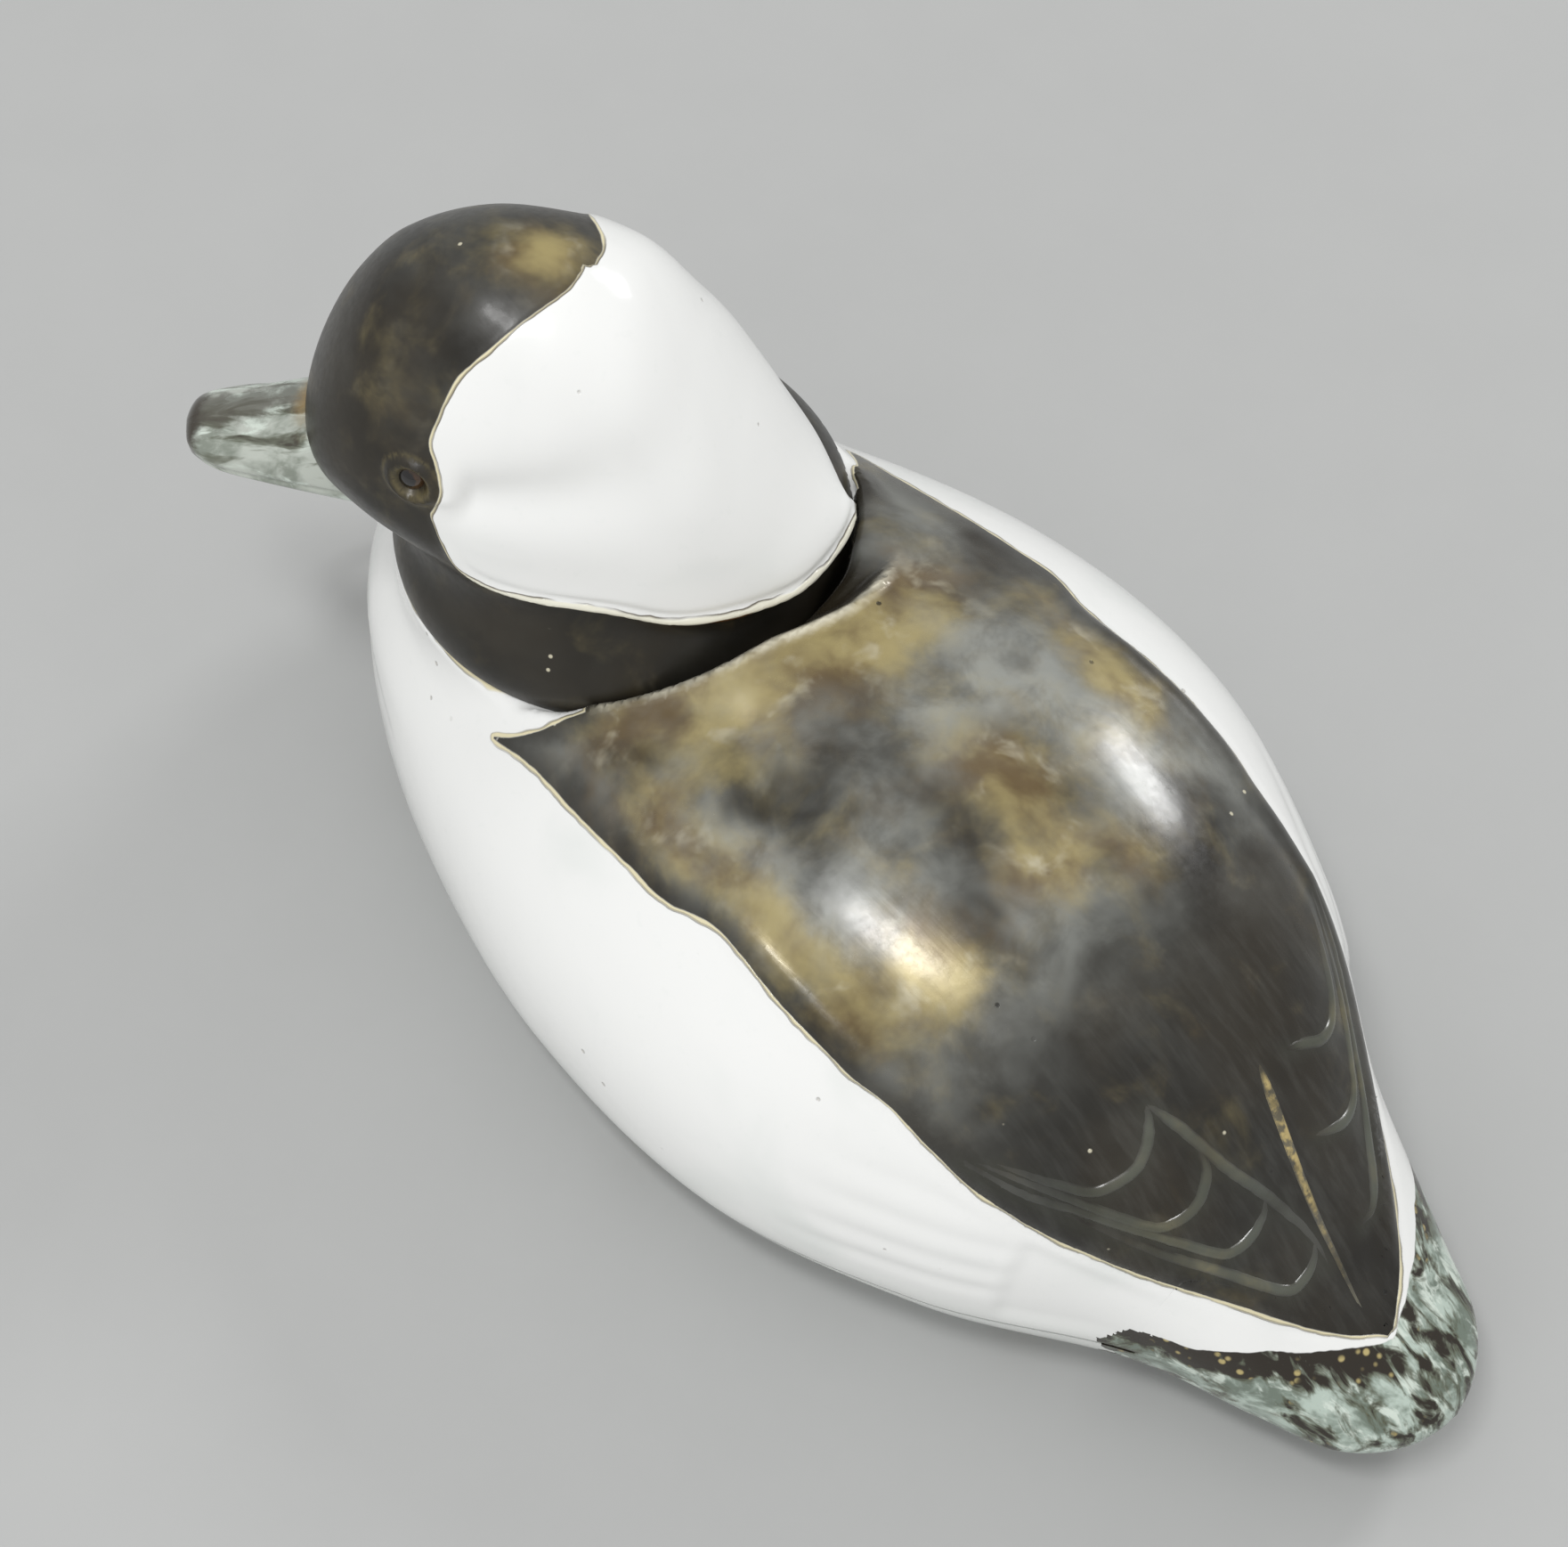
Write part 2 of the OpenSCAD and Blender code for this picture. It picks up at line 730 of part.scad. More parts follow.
// Rod glued in the head and held below the deck
module neck_spindle() {
  color([0.78, 0.62, 0.3])
    at_neck()
      translate([0, 0, spindle_end])
        cylinder(r = spindle_r, h = head_base + spindle_depth - spindle_end);
}

module deck_washer() {
  color([0.62, 0.63, 0.65])
    at_neck()
      translate([0, 0, deck_washer_z])
        difference() {
          cylinder(r = washer_r, h = washer_thick);
          cylinder(r = spindle_r + fit, h = 3 * washer_thick, center = true);
        }
}

// Two cupped washers set rim to rim
module spring_cup() {
  rotate_extrude()
    polygon([[spindle_r + 2 * fit, spring_height - spring_thick], [spring_r, 0],
      [spring_r, spring_thick], [spindle_r + 2 * fit, spring_height]]);
}
module disc_springs() {
  color([0.55, 0.56, 0.58])
    at_neck() {
      translate([0, 0, spring_z + spring_height])
        spring_cup();
      translate([0, 0, spring_z + spring_height])
        mirror([0, 0, 1])
          spring_cup();
    }
}

module lock_nut() {
  color([0.62, 0.63, 0.65])
    at_neck()
      translate([0, 0, nut_z])
        difference() {
          cylinder(r = nut_r, h = nut_height, $fn = 6);
          cylinder(r = spindle_r + fit, h = 3 * nut_height, center = true);
        }
}

back_shell();
bottom_shell();
seam_gasket();
hull_screws();
locating_dowels();
tail_piece();
tail_dowels();
ballast_bar();
ballast_screws();
line_tie_eye();
line_tie_ring();
neck_bush();
friction_disc();
head();
bill();
bill_dowel();
left_eye();
right_eye();
neck_spindle();
deck_washer();
disc_springs();
lock_nut();
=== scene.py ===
import math

import bpy
import numpy as np
from mathutils import Matrix, Vector


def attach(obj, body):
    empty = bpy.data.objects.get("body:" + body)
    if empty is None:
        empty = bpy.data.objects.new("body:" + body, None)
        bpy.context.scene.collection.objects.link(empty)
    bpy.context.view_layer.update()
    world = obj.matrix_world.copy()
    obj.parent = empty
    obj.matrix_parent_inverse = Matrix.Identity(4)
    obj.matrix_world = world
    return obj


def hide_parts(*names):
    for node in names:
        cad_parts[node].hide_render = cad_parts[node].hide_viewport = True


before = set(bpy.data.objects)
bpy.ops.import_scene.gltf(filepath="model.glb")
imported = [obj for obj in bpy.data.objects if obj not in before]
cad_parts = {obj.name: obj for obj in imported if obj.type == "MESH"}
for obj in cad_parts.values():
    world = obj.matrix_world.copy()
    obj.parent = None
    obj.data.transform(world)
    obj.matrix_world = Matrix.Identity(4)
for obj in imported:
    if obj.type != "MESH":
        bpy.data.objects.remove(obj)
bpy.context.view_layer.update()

bl_info = {
    "name": "Floating Duck Decoy",
    "version": (1, 0, 0),
    "blender": (4, 5, 0),
    "location": "3D Viewport > Sidebar > Decoy",
    "description": "Builds the painted skin, bill, eyes, feather ridges and fittings of a duck decoy",
    "category": "Add Mesh",
}

MM = 0.001

# Hull lines, each as (station, share): the station runs from breast to tail
HULL_PLAN = [(0, 0), (.1, .348), (.2, .609), (.31, .84), (.42, 1), (.53, 1), (.63, .783),
             (.72, .486), (.8, .355), (.88, .254), (1, 0)]
HULL_TOP = [(0, .518), (.12, .682), (.25, .776), (.37, .906), (.47, 1), (.565, .976), (.665, .824),
            (.755, .541), (.83, .353), (.92, .27), (1, .2)]
HULL_WIDE = [(0, .518), (.2, .294), (.5, .341), (.72, .27), (.85, .2), (1, .2)]
HULL_LOW = [(0, .518), (.16, .094), (.3, -.07), (.6, -.07), (.75, .012), (.85, .094), (1, .2)]
HOLLOW_ROOF = [(0, .3), (.24, .4), (.32, .52), (.42, .74), (.52, .8), (.6, .74), (.69, .5), (1, .2)]

# Head lines, from the brow back to the crest
HEAD_PLAN = [(0, 0), (.11, .44), (.195, .67), (.272, .83), (.385, .97), (.484, 1), (.581, .975),
             (.648, .92), (.711, .8), (.805, .535), (.9, .19), (1, 0)]
HEAD_TOP = [(0, .706), (.11, .797), (.195, .881), (.272, .948), (.385, 1), (.484, 1), (.529, .986),
            (.581, .953), (.648, .872), (.711, .783), (.805, .672), (.9, .606), (1, .577)]
HEAD_SHIFT = [(0, 0), (.4, 0), (.6, .0125), (.75, .081), (.88, .1125), (1, 0)]
HEAD_WIDE = [(0, .706), (.195, .734), (.3, .72), (.4, .685), (.58, .636), (.71, .594), (1, .577)]
HEAD_LOW = [(0, .706), (.11, .601), (.195, .559), (.4, .524), (.8, .524), (1, .577)]
HEAD_LOWER_POWER = [(0, 1.6), (.2, 1.5), (.35, 1.8), (.5, 2.4), (1, 2.4)]
NECK_LINE = [(60, 43), (66.3, 43), (72, 41.1), (78, 36.6), (84, 31.6), (90, 26.1), (100, 20)]
NECK_SLANT = (.16, .19)

# Bill lines, from its tip back to the root
BILL_PLAN = [(0, 0), (.14, .37), (.3, .585), (.45, .7), (.7, .82), (1, 1)]
BILL_DRIFT = [(0, 0), (.14, .4), (.3, .9), (.45, 1.4), (.7, 2), (1, 2.6)]
BILL_TOP = [(0, 89), (.14, 91.6), (.3, 94), (.45, 96), (.62, 98.5), (.75, 101), (1, 104)]
BILL_WIDE = [(0, 89), (.3, 89), (.6, 89.5), (1, 91)]
BILL_LOW = [(0, 89), (.14, 86.9), (.3, 86), (.5, 85), (1, 83)]

# Edge of the dark back seen from above, left side then right side, from the shoulder to the tail
BACK_LEFT = [(59, 33), (62, 37), (65, 40.5), (68.5, 43), (72, 44.5), (70, 45), (60, 45), (45, 47), (32, 48),
             (21, 48.5), (11, 46.5), (-1, 47.5), (-12, 48), (-23, 47.5), (-32, 46), (-42, 45), (-52, 43),
             (-65, 37.5), (-83, 26.5), (-101, 14), (-108, 7.5), (-113, 1)]
BACK_RIGHT = [(61, -37), (63, -39.5), (66, -42), (69, -44.5), (72, -46.5), (70, -47.5), (60, -47),
              (45, -47.5), (32, -48)] + [(x, -y) for x, y in BACK_LEFT[9:]]

# Lower edge of the dark neck: height by the angle from straight ahead round the neck
NECK_EDGE = [(0, 65.6), (100, 65.6), (108, 66.6), (118, 69.2), (128, 73), (137, 77), (159, 83), (180, 85)]

# Front edge of the mottled tail seen from above, on each side
TAIL_EDGE = [(-76, 37), (-81, 33), (-86, 30.5), (-92, 27.5), (-98, 23), (-102, 18.5), (-107, 13), (-111, 6.5),
             (-114.5, 0)]

# Edge of the white crest patch seen from the side, from the crown round the cheek to the nape
PATCH_LEFT = [(4, 142.5), (9, 141.5), (13.5, 140), (19, 137), (24, 133), (27, 127), (28.5, 122),
              (27.5, 118.5), (26.5, 113.5), (28, 109), (28.5, 107), (27.5, 102.5), (26.5, 99.5), (24.5, 95),
              (20, 91.5), (11, 89), (-2, 87.5), (-12.5, 85), (-25, 84), (-38, 81), (-41.5, 80.5)]
PATCH_RIGHT = [(3.5, 141.5), (2.5, 140.5), (3.5, 139.5), (6, 136.5), (7.5, 131.5), (10.5, 126), (15.5, 121.5),
               (21, 119), (25, 116.5)] + PATCH_LEFT[8:]

# Feather ends and feather edges of the folded wings, seen from above
FEATHERS_LEFT = [
    [(-62.5, 15), (-65, 16.5), (-67, 19), (-68, 23), (-66, 29), (-62, 32.5), (-56.5, 36), (-51, 39)],
    [(-72, 11.5), (-75.5, 12.5), (-77.5, 14.5), (-78.5, 18.5), (-76.5, 24), (-71.5, 28), (-64.5, 32.5),
     (-57.5, 36.5), (-48, 41.5)],
    [(-85, 6.5), (-86.5, 8), (-87.5, 11), (-87.5, 15), (-86, 18), (-81, 22), (-73, 28), (-65.5, 33),
     (-56, 39), (-46, 43)],
    [(-95, 3), (-97, 5), (-98, 8.5), (-97.5, 11.5), (-94.5, 14.5), (-87.5, 19.5), (-80, 25), (-73, 29.5),
     (-64, 35)],
    [(-62.5, 15), (-67.5, 13), (-72, 11.5), (-78, 9.5), (-84, 6.5), (-89, 4.5), (-94, 3), (-99, 3)],
]
FEATHERS_RIGHT = [
    [(-71, -12), (-72, -16), (-73, -20), (-72, -24), (-68.5, -28), (-62, -32.5), (-54, -37)],
    [(-83.5, -8), (-84.5, -12), (-84.5, -16), (-82.5, -20), (-78.5, -23.5), (-71, -29), (-62, -34.5),
     (-52, -40)],
    [(-98, -6), (-97.5, -10), (-94.5, -13.5), (-90, -17), (-82, -23), (-73, -29), (-63, -35.5), (-50, -42)],
]
CENTRE_LINE = [(-70, -6), (-80, -3), (-90, -.5), (-98.5, 1), (-108, 2)]

# Raised rim of the back behind the neck: how far outside the joint by the angle round it
RIM_PATH = [(120, .8), (160, .9), (170, 1.5), (175, 2.1), (185, 5.2), (192, 7.6), (199, 8.9), (204, 9.6)]

# Clouds in the lustre of the back: place, half length, half width and strength
GOLD_CLOUDS = [(40, 17, 9, 14, 1), (31, -10, 9, 14, .9), (28, -22, 8, 8, .6), (26, 40, 16, 6, .75),
               (4, 41, 18, 5, .75), (-14, 40, 14, 6, .5), (-5, -6, 12, 7, .9), (-22, -1, 9, 7, .95),
               (-24, 27, 12, 7, .95), (-34, -13, 9, 6, .8), (-2, -38, 15, 6, .85)]
SLATE_CLOUDS = [(19, 22, 18, 12, .9), (10, -18, 18, 12, .9), (0, 32, 14, 7, .8), (-32, 12, 10, 8, .5),
                (44, 27, 9, 8, .6), (-20, -28, 16, 8, .6)]

# Places that follow the solids, in millimetres
CREST, BILL_ROOT = -42.0, 44.0
LEAN_ACROSS, LEAN_UP = 1, 108
TAIL_POINT, TAIL_RUN, TAIL_HALF, TAIL_FLARE = 112, 28, 24, 9
MOTTLE_FRONT_BELOW, MOTTLE_BELOW_TOP = -77, 16.5
NECK_PAINT_REACH, STUMP_FOOT, STUMP_TOP, STUMP_FLARE = 62, 40, 56, 4
HOLLOW_WALL, HOLLOW_FLOOR, HOLLOW_FRONT = 17, 14, 101
POCKET_RADIUS, POCKET_ROOF = 18, 46
DECK_BORES = [(38.1, 64.25), (11.1, 63.9), (7.6, 40)]
BALLAST_MIDDLE, BALLAST_HALF_LENGTH, BALLAST_HALF_WIDTH, BALLAST_TOP = -40, 30.3, 14.3, 8.5
SCREW_STATIONS, SCREW_INSET, WELL_RADIUS, WELL_TOP = (100, 12, -62), 8.5, 3.8, 12.6
SEAT_GAP, NECK_TOP = .3, 96
EYE_PLACE, EYE_RADIUS, EYE_RISE, EYE_SINK = (32.1, 26.2, 113.7), 3.05, 2.7, .8
RIM_PLACE, RIM_HALF, RIM_SLANT, TEAR_PLACE = (31.6, 113.8), (3.8, 3.4), (.94, .34), (26.4, 111.6)

# Directions, in degrees
EYE_TILT, EYE_TURN, EYE_REACH, CRISP_EDGE = 75, 69, 110, 48

# Camera that matches the photograph, in degrees and metres
CAMERA_TURN, CAMERA_RISE, CAMERA_ROLL = 224.81, 61.37, 1.41
CAMERA_AIM, CAMERA_FAR, CAMERA_LENS, CAMERA_SENSOR = (.03755, .00379, .040), .69345, 84.84, 36


def length(name, description, metres, precision=4):
    """One size that a maker can change."""
    return bpy.props.FloatProperty(
        name=name, description=description, default=metres, unit="LENGTH", precision=precision)


def turning(name, description, degrees):
    """One angle that a maker can change."""
    return bpy.props.FloatProperty(
        name=name, description=description, default=math.radians(degrees), subtype="ANGLE")


def lighting(name, description, level, **limits):
    """One setting of the light that a maker can change."""
    return bpy.props.FloatProperty(name=name, description=description, default=level, **limits)


def paint(name, description, colour):
    """One colour that a maker can change."""
    return bpy.props.FloatVectorProperty(
        name=name, description=description, default=colour, size=3, min=0, max=1, subtype="COLOR")


class DecoySizes(bpy.types.PropertyGroup):
    """Sizes of the decoy that a maker would change."""

    breast_reach: length("Breast Reach", "From the origin to the front of the breast", .1375)
    tail_reach: length("Tail Reach", "From the origin to the tail tip", .130)
    hull_width: length("Hull Width", "Greatest width of the hull", .138)
    hull_height: length("Hull Height", "Height of the back above the base", .085)
    seam_height: length("Seam Height", "Height of the top of the bottom shell", .020)
    gasket: length("Gasket", "Thickness of the seal between the shells", .001)
    neck_x: length("Neck Forward", "Neck axis, forward of the origin", .087)
    neck_y: length("Neck Left", "Neck axis, to the left of the origin", -.002)
    neck_radius: length("Neck Radius", "Radius of the round neck at its seat", .043)
    socket_gap: length("Socket Gap", "Gap around the neck where the back rises behind it", .0006, 5)
    seat_height: length("Seat Height", "Height of the neck seat", .066)
    head_turn: turning("Head Turn", "Turn of the head to the left at rest", 40)
    head_lean: turning("Head Lean", "Sideways lean of the head", 5)
    head_length: length("Head Length", "From the crest to the brow", .0975)
    head_width: length("Head Width", "Greatest width of the head", .064)
    crown_height: length("Crown Height", "Height of the crown above the base", .143)
    bill_reach: length("Bill Reach", "Bill tip in front of the neck axis", .0785)
    bill_width: length("Bill Width", "Width of the bill at its root", .024)
    wing_edge: length("Wing Edge", "How far the edge of the folded wing stands proud", .0006, 5)
    patch_lip: length("Patch Lip", "How far the lower edge of the white patch stands proud", .0014, 5)
    eye_rim: length("Eye Rim", "Height of the moulded rim round each eye", .0011, 5)
    feather_bead: length("Feather Bead", "Radius of the raised feather edges", .0017, 5)
    feather_sink: length("Feather Sink", "How deep the feather edges lie in the back", .00135, 5)
    hull_detail: length("Hull Detail", "Size of the faces on the hull", .0011, 5)
    head_detail: length("Head Detail", "Size of the faces on the head", .0007, 5)


class DecoyFinish(bpy.types.PropertyGroup):
    """Colours of the decoy's paint and metal."""

    white: paint("White", "Enamel of the flanks, breast and crest patch", (.80, .805, .79))
    white_shade: paint("White Shade", "Where the white lies thin or pools", (.62, .66, .63))
    dark: paint("Dark", "Ground of the dark back, neck and face", (.011, .0095, .0065))
    umber: paint("Umber", "Warm brown in the dark lustre", (.022, .0175, .0105))
    bronze: paint("Bronze", "Gold clouds in the dark lustre", (.44, .36, .155))
    slate: paint("Slate", "Blue-grey clouds in the dark lustre", (.27, .278, .255))
    rim: paint("Rim", "Cream line along each paint edge", (.70, .64, .43))
    celadon: paint("Celadon", "Pale ground of the bill and tail", (.44, .52, .46))
    moss: paint("Moss", "Grey-green in the bill and tail", (.15, .185, .15))
    streak: paint("Streak", "Dark streaks on the bill and tail", (.024, .019, .013))
    brass: paint("Brass", "Line tie, screws, bush and spindle", (.60, .43, .17))
    steel: paint("Steel", "Washer, springs and nut", (.52, .53, .55))
    iron: paint("Iron", "Ballast bar", (.055, .056, .06))
    leather: paint("Leather", "Friction disc", (.13, .06, .025))
    rubber: paint("Rubber", "Seam gasket", (.022, .021, .020))
    timber: paint("Timber", "Dowels", (.48, .31, .16))
    floor: paint("Floor", "Pale floor under the decoy", (.43, .435, .43))


class DecoyStage(bpy.types.PropertyGroup):
    """Light on the decoy."""

    overhead: lighting("Overhead", "Power of the softbox overhead", 5.4, subtype="POWER")
    window: lighting("Window", "Power of the softbox on the right", 4.8, subtype="POWER")
    flank: lighting("Flank", "Power of the broad low softbox on the left", 5.5, subtype="POWER")
    fill: lighting("Fill", "Strength of the even light all round", .74, min=0)
    backdrop: lighting("Backdrop", "Brightness of the plain background", .45, min=0, max=1)


def sizes():
    return bpy.context.scene.decoy_sizes


def finish():
    return bpy.context.scene.decoy_finish


def stage():
    return bpy.context.scene.decoy_stage


# Rules of shape, in millimetres

def curve(table, x):
    """Smooth line through the points of a table."""
    p = np.asarray(table, float)
    px, py = p[:, 0], p[:, 1]
    m = np.empty(len(px))
    m[1:-1] = (py[2:] - py[:-2]) / (px[2:] - px[:-2])
    m[0] = (py[1] - py[0]) / (px[1] - px[0])
    m[-1] = (py[-1] - py[-2]) / (px[-1] - px[-2])
    x = np.clip(np.asarray(x, float), px[0], px[-1])
    i = np.clip(np.searchsorted(px, x, side="right") - 1, 0, len(px) - 2)
    h = px[i + 1] - px[i]
    t = (x - px[i]) / h
    return ((2 * t ** 3 - 3 * t * t + 1) * py[i] + (t ** 3 - 2 * t * t + t) * h * m[i]
            + (3 * t * t - 2 * t ** 3) * py[i + 1] + (t ** 3 - t * t) * h * m[i + 1])


def step(a, b, x):
    """Soft step from 0 at a to 1 at b."""
    t = np.clip((np.asarray(x, float) - a) / (b - a), 0, 1)
    return t * t * (3 - 2 * t)


def hump(x, width):
    """Bell of height 1 round 0."""
    return np.exp(-(np.asarray(x, float) / width) ** 2)


def join(a, b, k):
    """Soft union of two distances with a fillet of about k."""
    h = np.clip(.5 + .5 * (b - a) / k, 0, 1)
    return b * (1 - h) + a * h - k * h * (1 - h)


def meet(a, b, k):
    """Soft intersection of two distances."""
    return -join(-a, -b, k)


def cut(a, b, k):
    """Takes b away from a, with a rounded edge."""
    return meet(a, -b, k)


class Loft:
    """A rounded body skinned over cross-sections along X."""

    def __init__(self, front, rear, lines):
        self.front, self.rear, self.lines = front, rear, lines

    def station(self, x):
        share = (self.front - np.asarray(x, float)) / (self.front - self.rear)
        return np.arccos(np.clip(1 - 2 * share, -1, 1)) / math.pi

    def at(self, x):
        """Centre, half width, top, widest height, bottom, and upper and lower roundness at x."""
        return self.lines(self.station(x))

    def level(self, x, y, z):
        """Below 0 inside the skin, with its slopes across and up."""
        centre, half, top, mid, low, up, down = self.at(x)
        rise = z - mid
        above = rise >= 0
        half, height = np.maximum(half, .3), np.maximum(np.where(above, top - mid, mid - low), .3)
        power = np.where(above, up, down)
        across, high = np.abs(y - centre) / half, np.abs(rise) / height
        one, two = across ** (power - 1), high ** (power - 1)
        g = np.maximum(one * across + two * high, 1e-9)
        square = g ** (2 / power)
        return (square - 1) * half * height, 2 * height * square / g * one, 2 * half * square / g * two

    def distance(self, x, y, z):
        """Distance outside the skin, below 0 inside."""
        e, end = .04, .12
        near = np.clip(x, self.rear + end, self.front - end)
        f, slope_y, slope_z = self.level(near, y, z)
        ahead, behind = self.level(near + e, y, z)[0], self.level(near - e, y, z)[0]
        slope = (((ahead - behind) / (2 * e)) ** 2 + slope_y ** 2 + slope_z ** 2) / 4
        away = f / np.maximum(np.sqrt(slope) + np.sqrt(np.maximum(slope - f, 0)), 1e-3)
        past = np.maximum(x - self.front, self.rear - x)
        return np.where(away > 0, np.hypot(away, np.maximum(past, 0)), np.maximum(away, past))


def hull_loft():
    s = sizes()
    wide, high = s.hull_width / MM / 2, s.hull_height / MM

    def lines(u):
        return (0, curve(HULL_PLAN, u) * wide, curve(HULL_TOP, u) * high, curve(HULL_WIDE, u) * high,
                curve(HULL_LOW, u) * high, 2.2, 2.4)
    return Loft(s.breast_reach / MM, -s.tail_reach / MM, lines)


def head_loft():
    s = sizes()
    wide, high = s.head_width / MM / 2, s.crown_height / MM

    def lines(u):
        return (curve(HEAD_SHIFT, u) * wide, curve(HEAD_PLAN, u) * wide, curve(HEAD_TOP, u) * high,
                curve(HEAD_WIDE, u) * high, curve(HEAD_LOW, u) * high, 2, curve(HEAD_LOWER_POWER, u))
    return Loft(s.head_length / MM + CREST, CREST, lines)


class Bill(Loft):
    """The bill's stations crowd towards its round tip."""

    def station(self, x):
        share = (self.front - np.asarray(x, float)) / (self.front - self.rear)
        return np.sqrt(np.clip(share, 0, 1))


def bill_loft():
    s = sizes()
    half = s.bill_width / MM / 2

    def lines(k):
        return (curve(BILL_DRIFT, k), curve(BILL_PLAN, k) * half, curve(BILL_TOP, k), curve(BILL_WIDE, k),
                curve(BILL_LOW, k), 2.2, 2.2)
    return Bill(s.bill_reach / MM, BILL_ROOT, lines)


def tail_notch(x, y):
    """Below 0 on the tail's side of the joint at the stern."""
    near = (x + TAIL_POINT - np.abs(y) * TAIL_RUN / TAIL_HALF) * TAIL_HALF / math.hypot(TAIL_HALF, TAIL_RUN)
    far = x + (TAIL_POINT - TAIL_RUN) - (np.abs(y) - TAIL_HALF) / TAIL_FLARE
    return np.maximum(near, far)


def to_head(p, lean=True):
    """Points of the shared frame in the head's own lines."""
    s = sizes()
    a = s.head_turn
    x, y, z = p[:, 0] - s.neck_x / MM, p[:, 1] - s.neck_y / MM, p[:, 2]
    x, y = x * math.cos(a) + y * math.sin(a), y * math.cos(a) - x * math.sin(a)
    if lean:
        r, dy, dz = s.head_lean, y - LEAN_ACROSS, z - LEAN_UP
        y, z = dy * math.cos(r) + dz * math.sin(r), LEAN_UP - dy * math.sin(r) + dz * math.cos(r)
    return x, y, z


def from_head(p):
    """Points of the leaning head's lines in the shared frame."""
    s = sizes()
    r, a = s.head_lean, s.head_turn
    p = np.asarray(p, float)
    dz = p[:, 2] - LEAN_UP
    y = LEAN_ACROSS + p[:, 1] * math.cos(r) - dz * math.sin(r)
    z = LEAN_UP + p[:, 1] * math.sin(r) + dz * math.cos(r)
    return np.stack([s.neck_x / MM + p[:, 0] * math.cos(a) - y * math.sin(a),
                     s.neck_y / MM + p[:, 0] * math.sin(a) + y * math.cos(a), z], 1)


# Skins over a rule of shape

def normals(field, p):
    """Outward directions of a field at points, and how steep it is there."""
    e = .03
    g = np.stack([field(p + d) - field(p - d) for d in np.eye(3) * e], 1) / (2 * e)
    size = np.linalg.norm(g, axis=1)
    return g / np.maximum(size, 1e-6)[:, None], np.maximum(size, .2)


def settle(field, p, reach, rounds=3):
    """Moves points on to the skin where the field is 0."""
    for _ in range(rounds):
        n, size = normals(field, p)
        p = p - n * np.clip(field(p) / size, -reach, reach)[:, None]
    return p


def sample(field, low, high, pitch):
    """The field on a grid, worked out in full only near the skin."""
    blocks = np.ceil((np.asarray(high, float) - low) / pitch / 4).astype(int)
    middles = [low[i] + pitch * (4 * np.arange(blocks[i]) + 1.5) for i in range(3)]
    p = np.stack(np.meshgrid(*middles, indexing="ij"), -1).reshape(-1, 3)
    coarse = field(p).reshape(blocks)
    grid = coarse.repeat(4, 0).repeat(4, 1).repeat(4, 2)
    near = np.argwhere((np.abs(coarse) < 8 * pitch).repeat(4, 0).repeat(4, 1).repeat(4, 2))
    grid[near[:, 0], near[:, 1], near[:, 2]] = field(np.asarray(low, float) + pitch * near)
    return grid


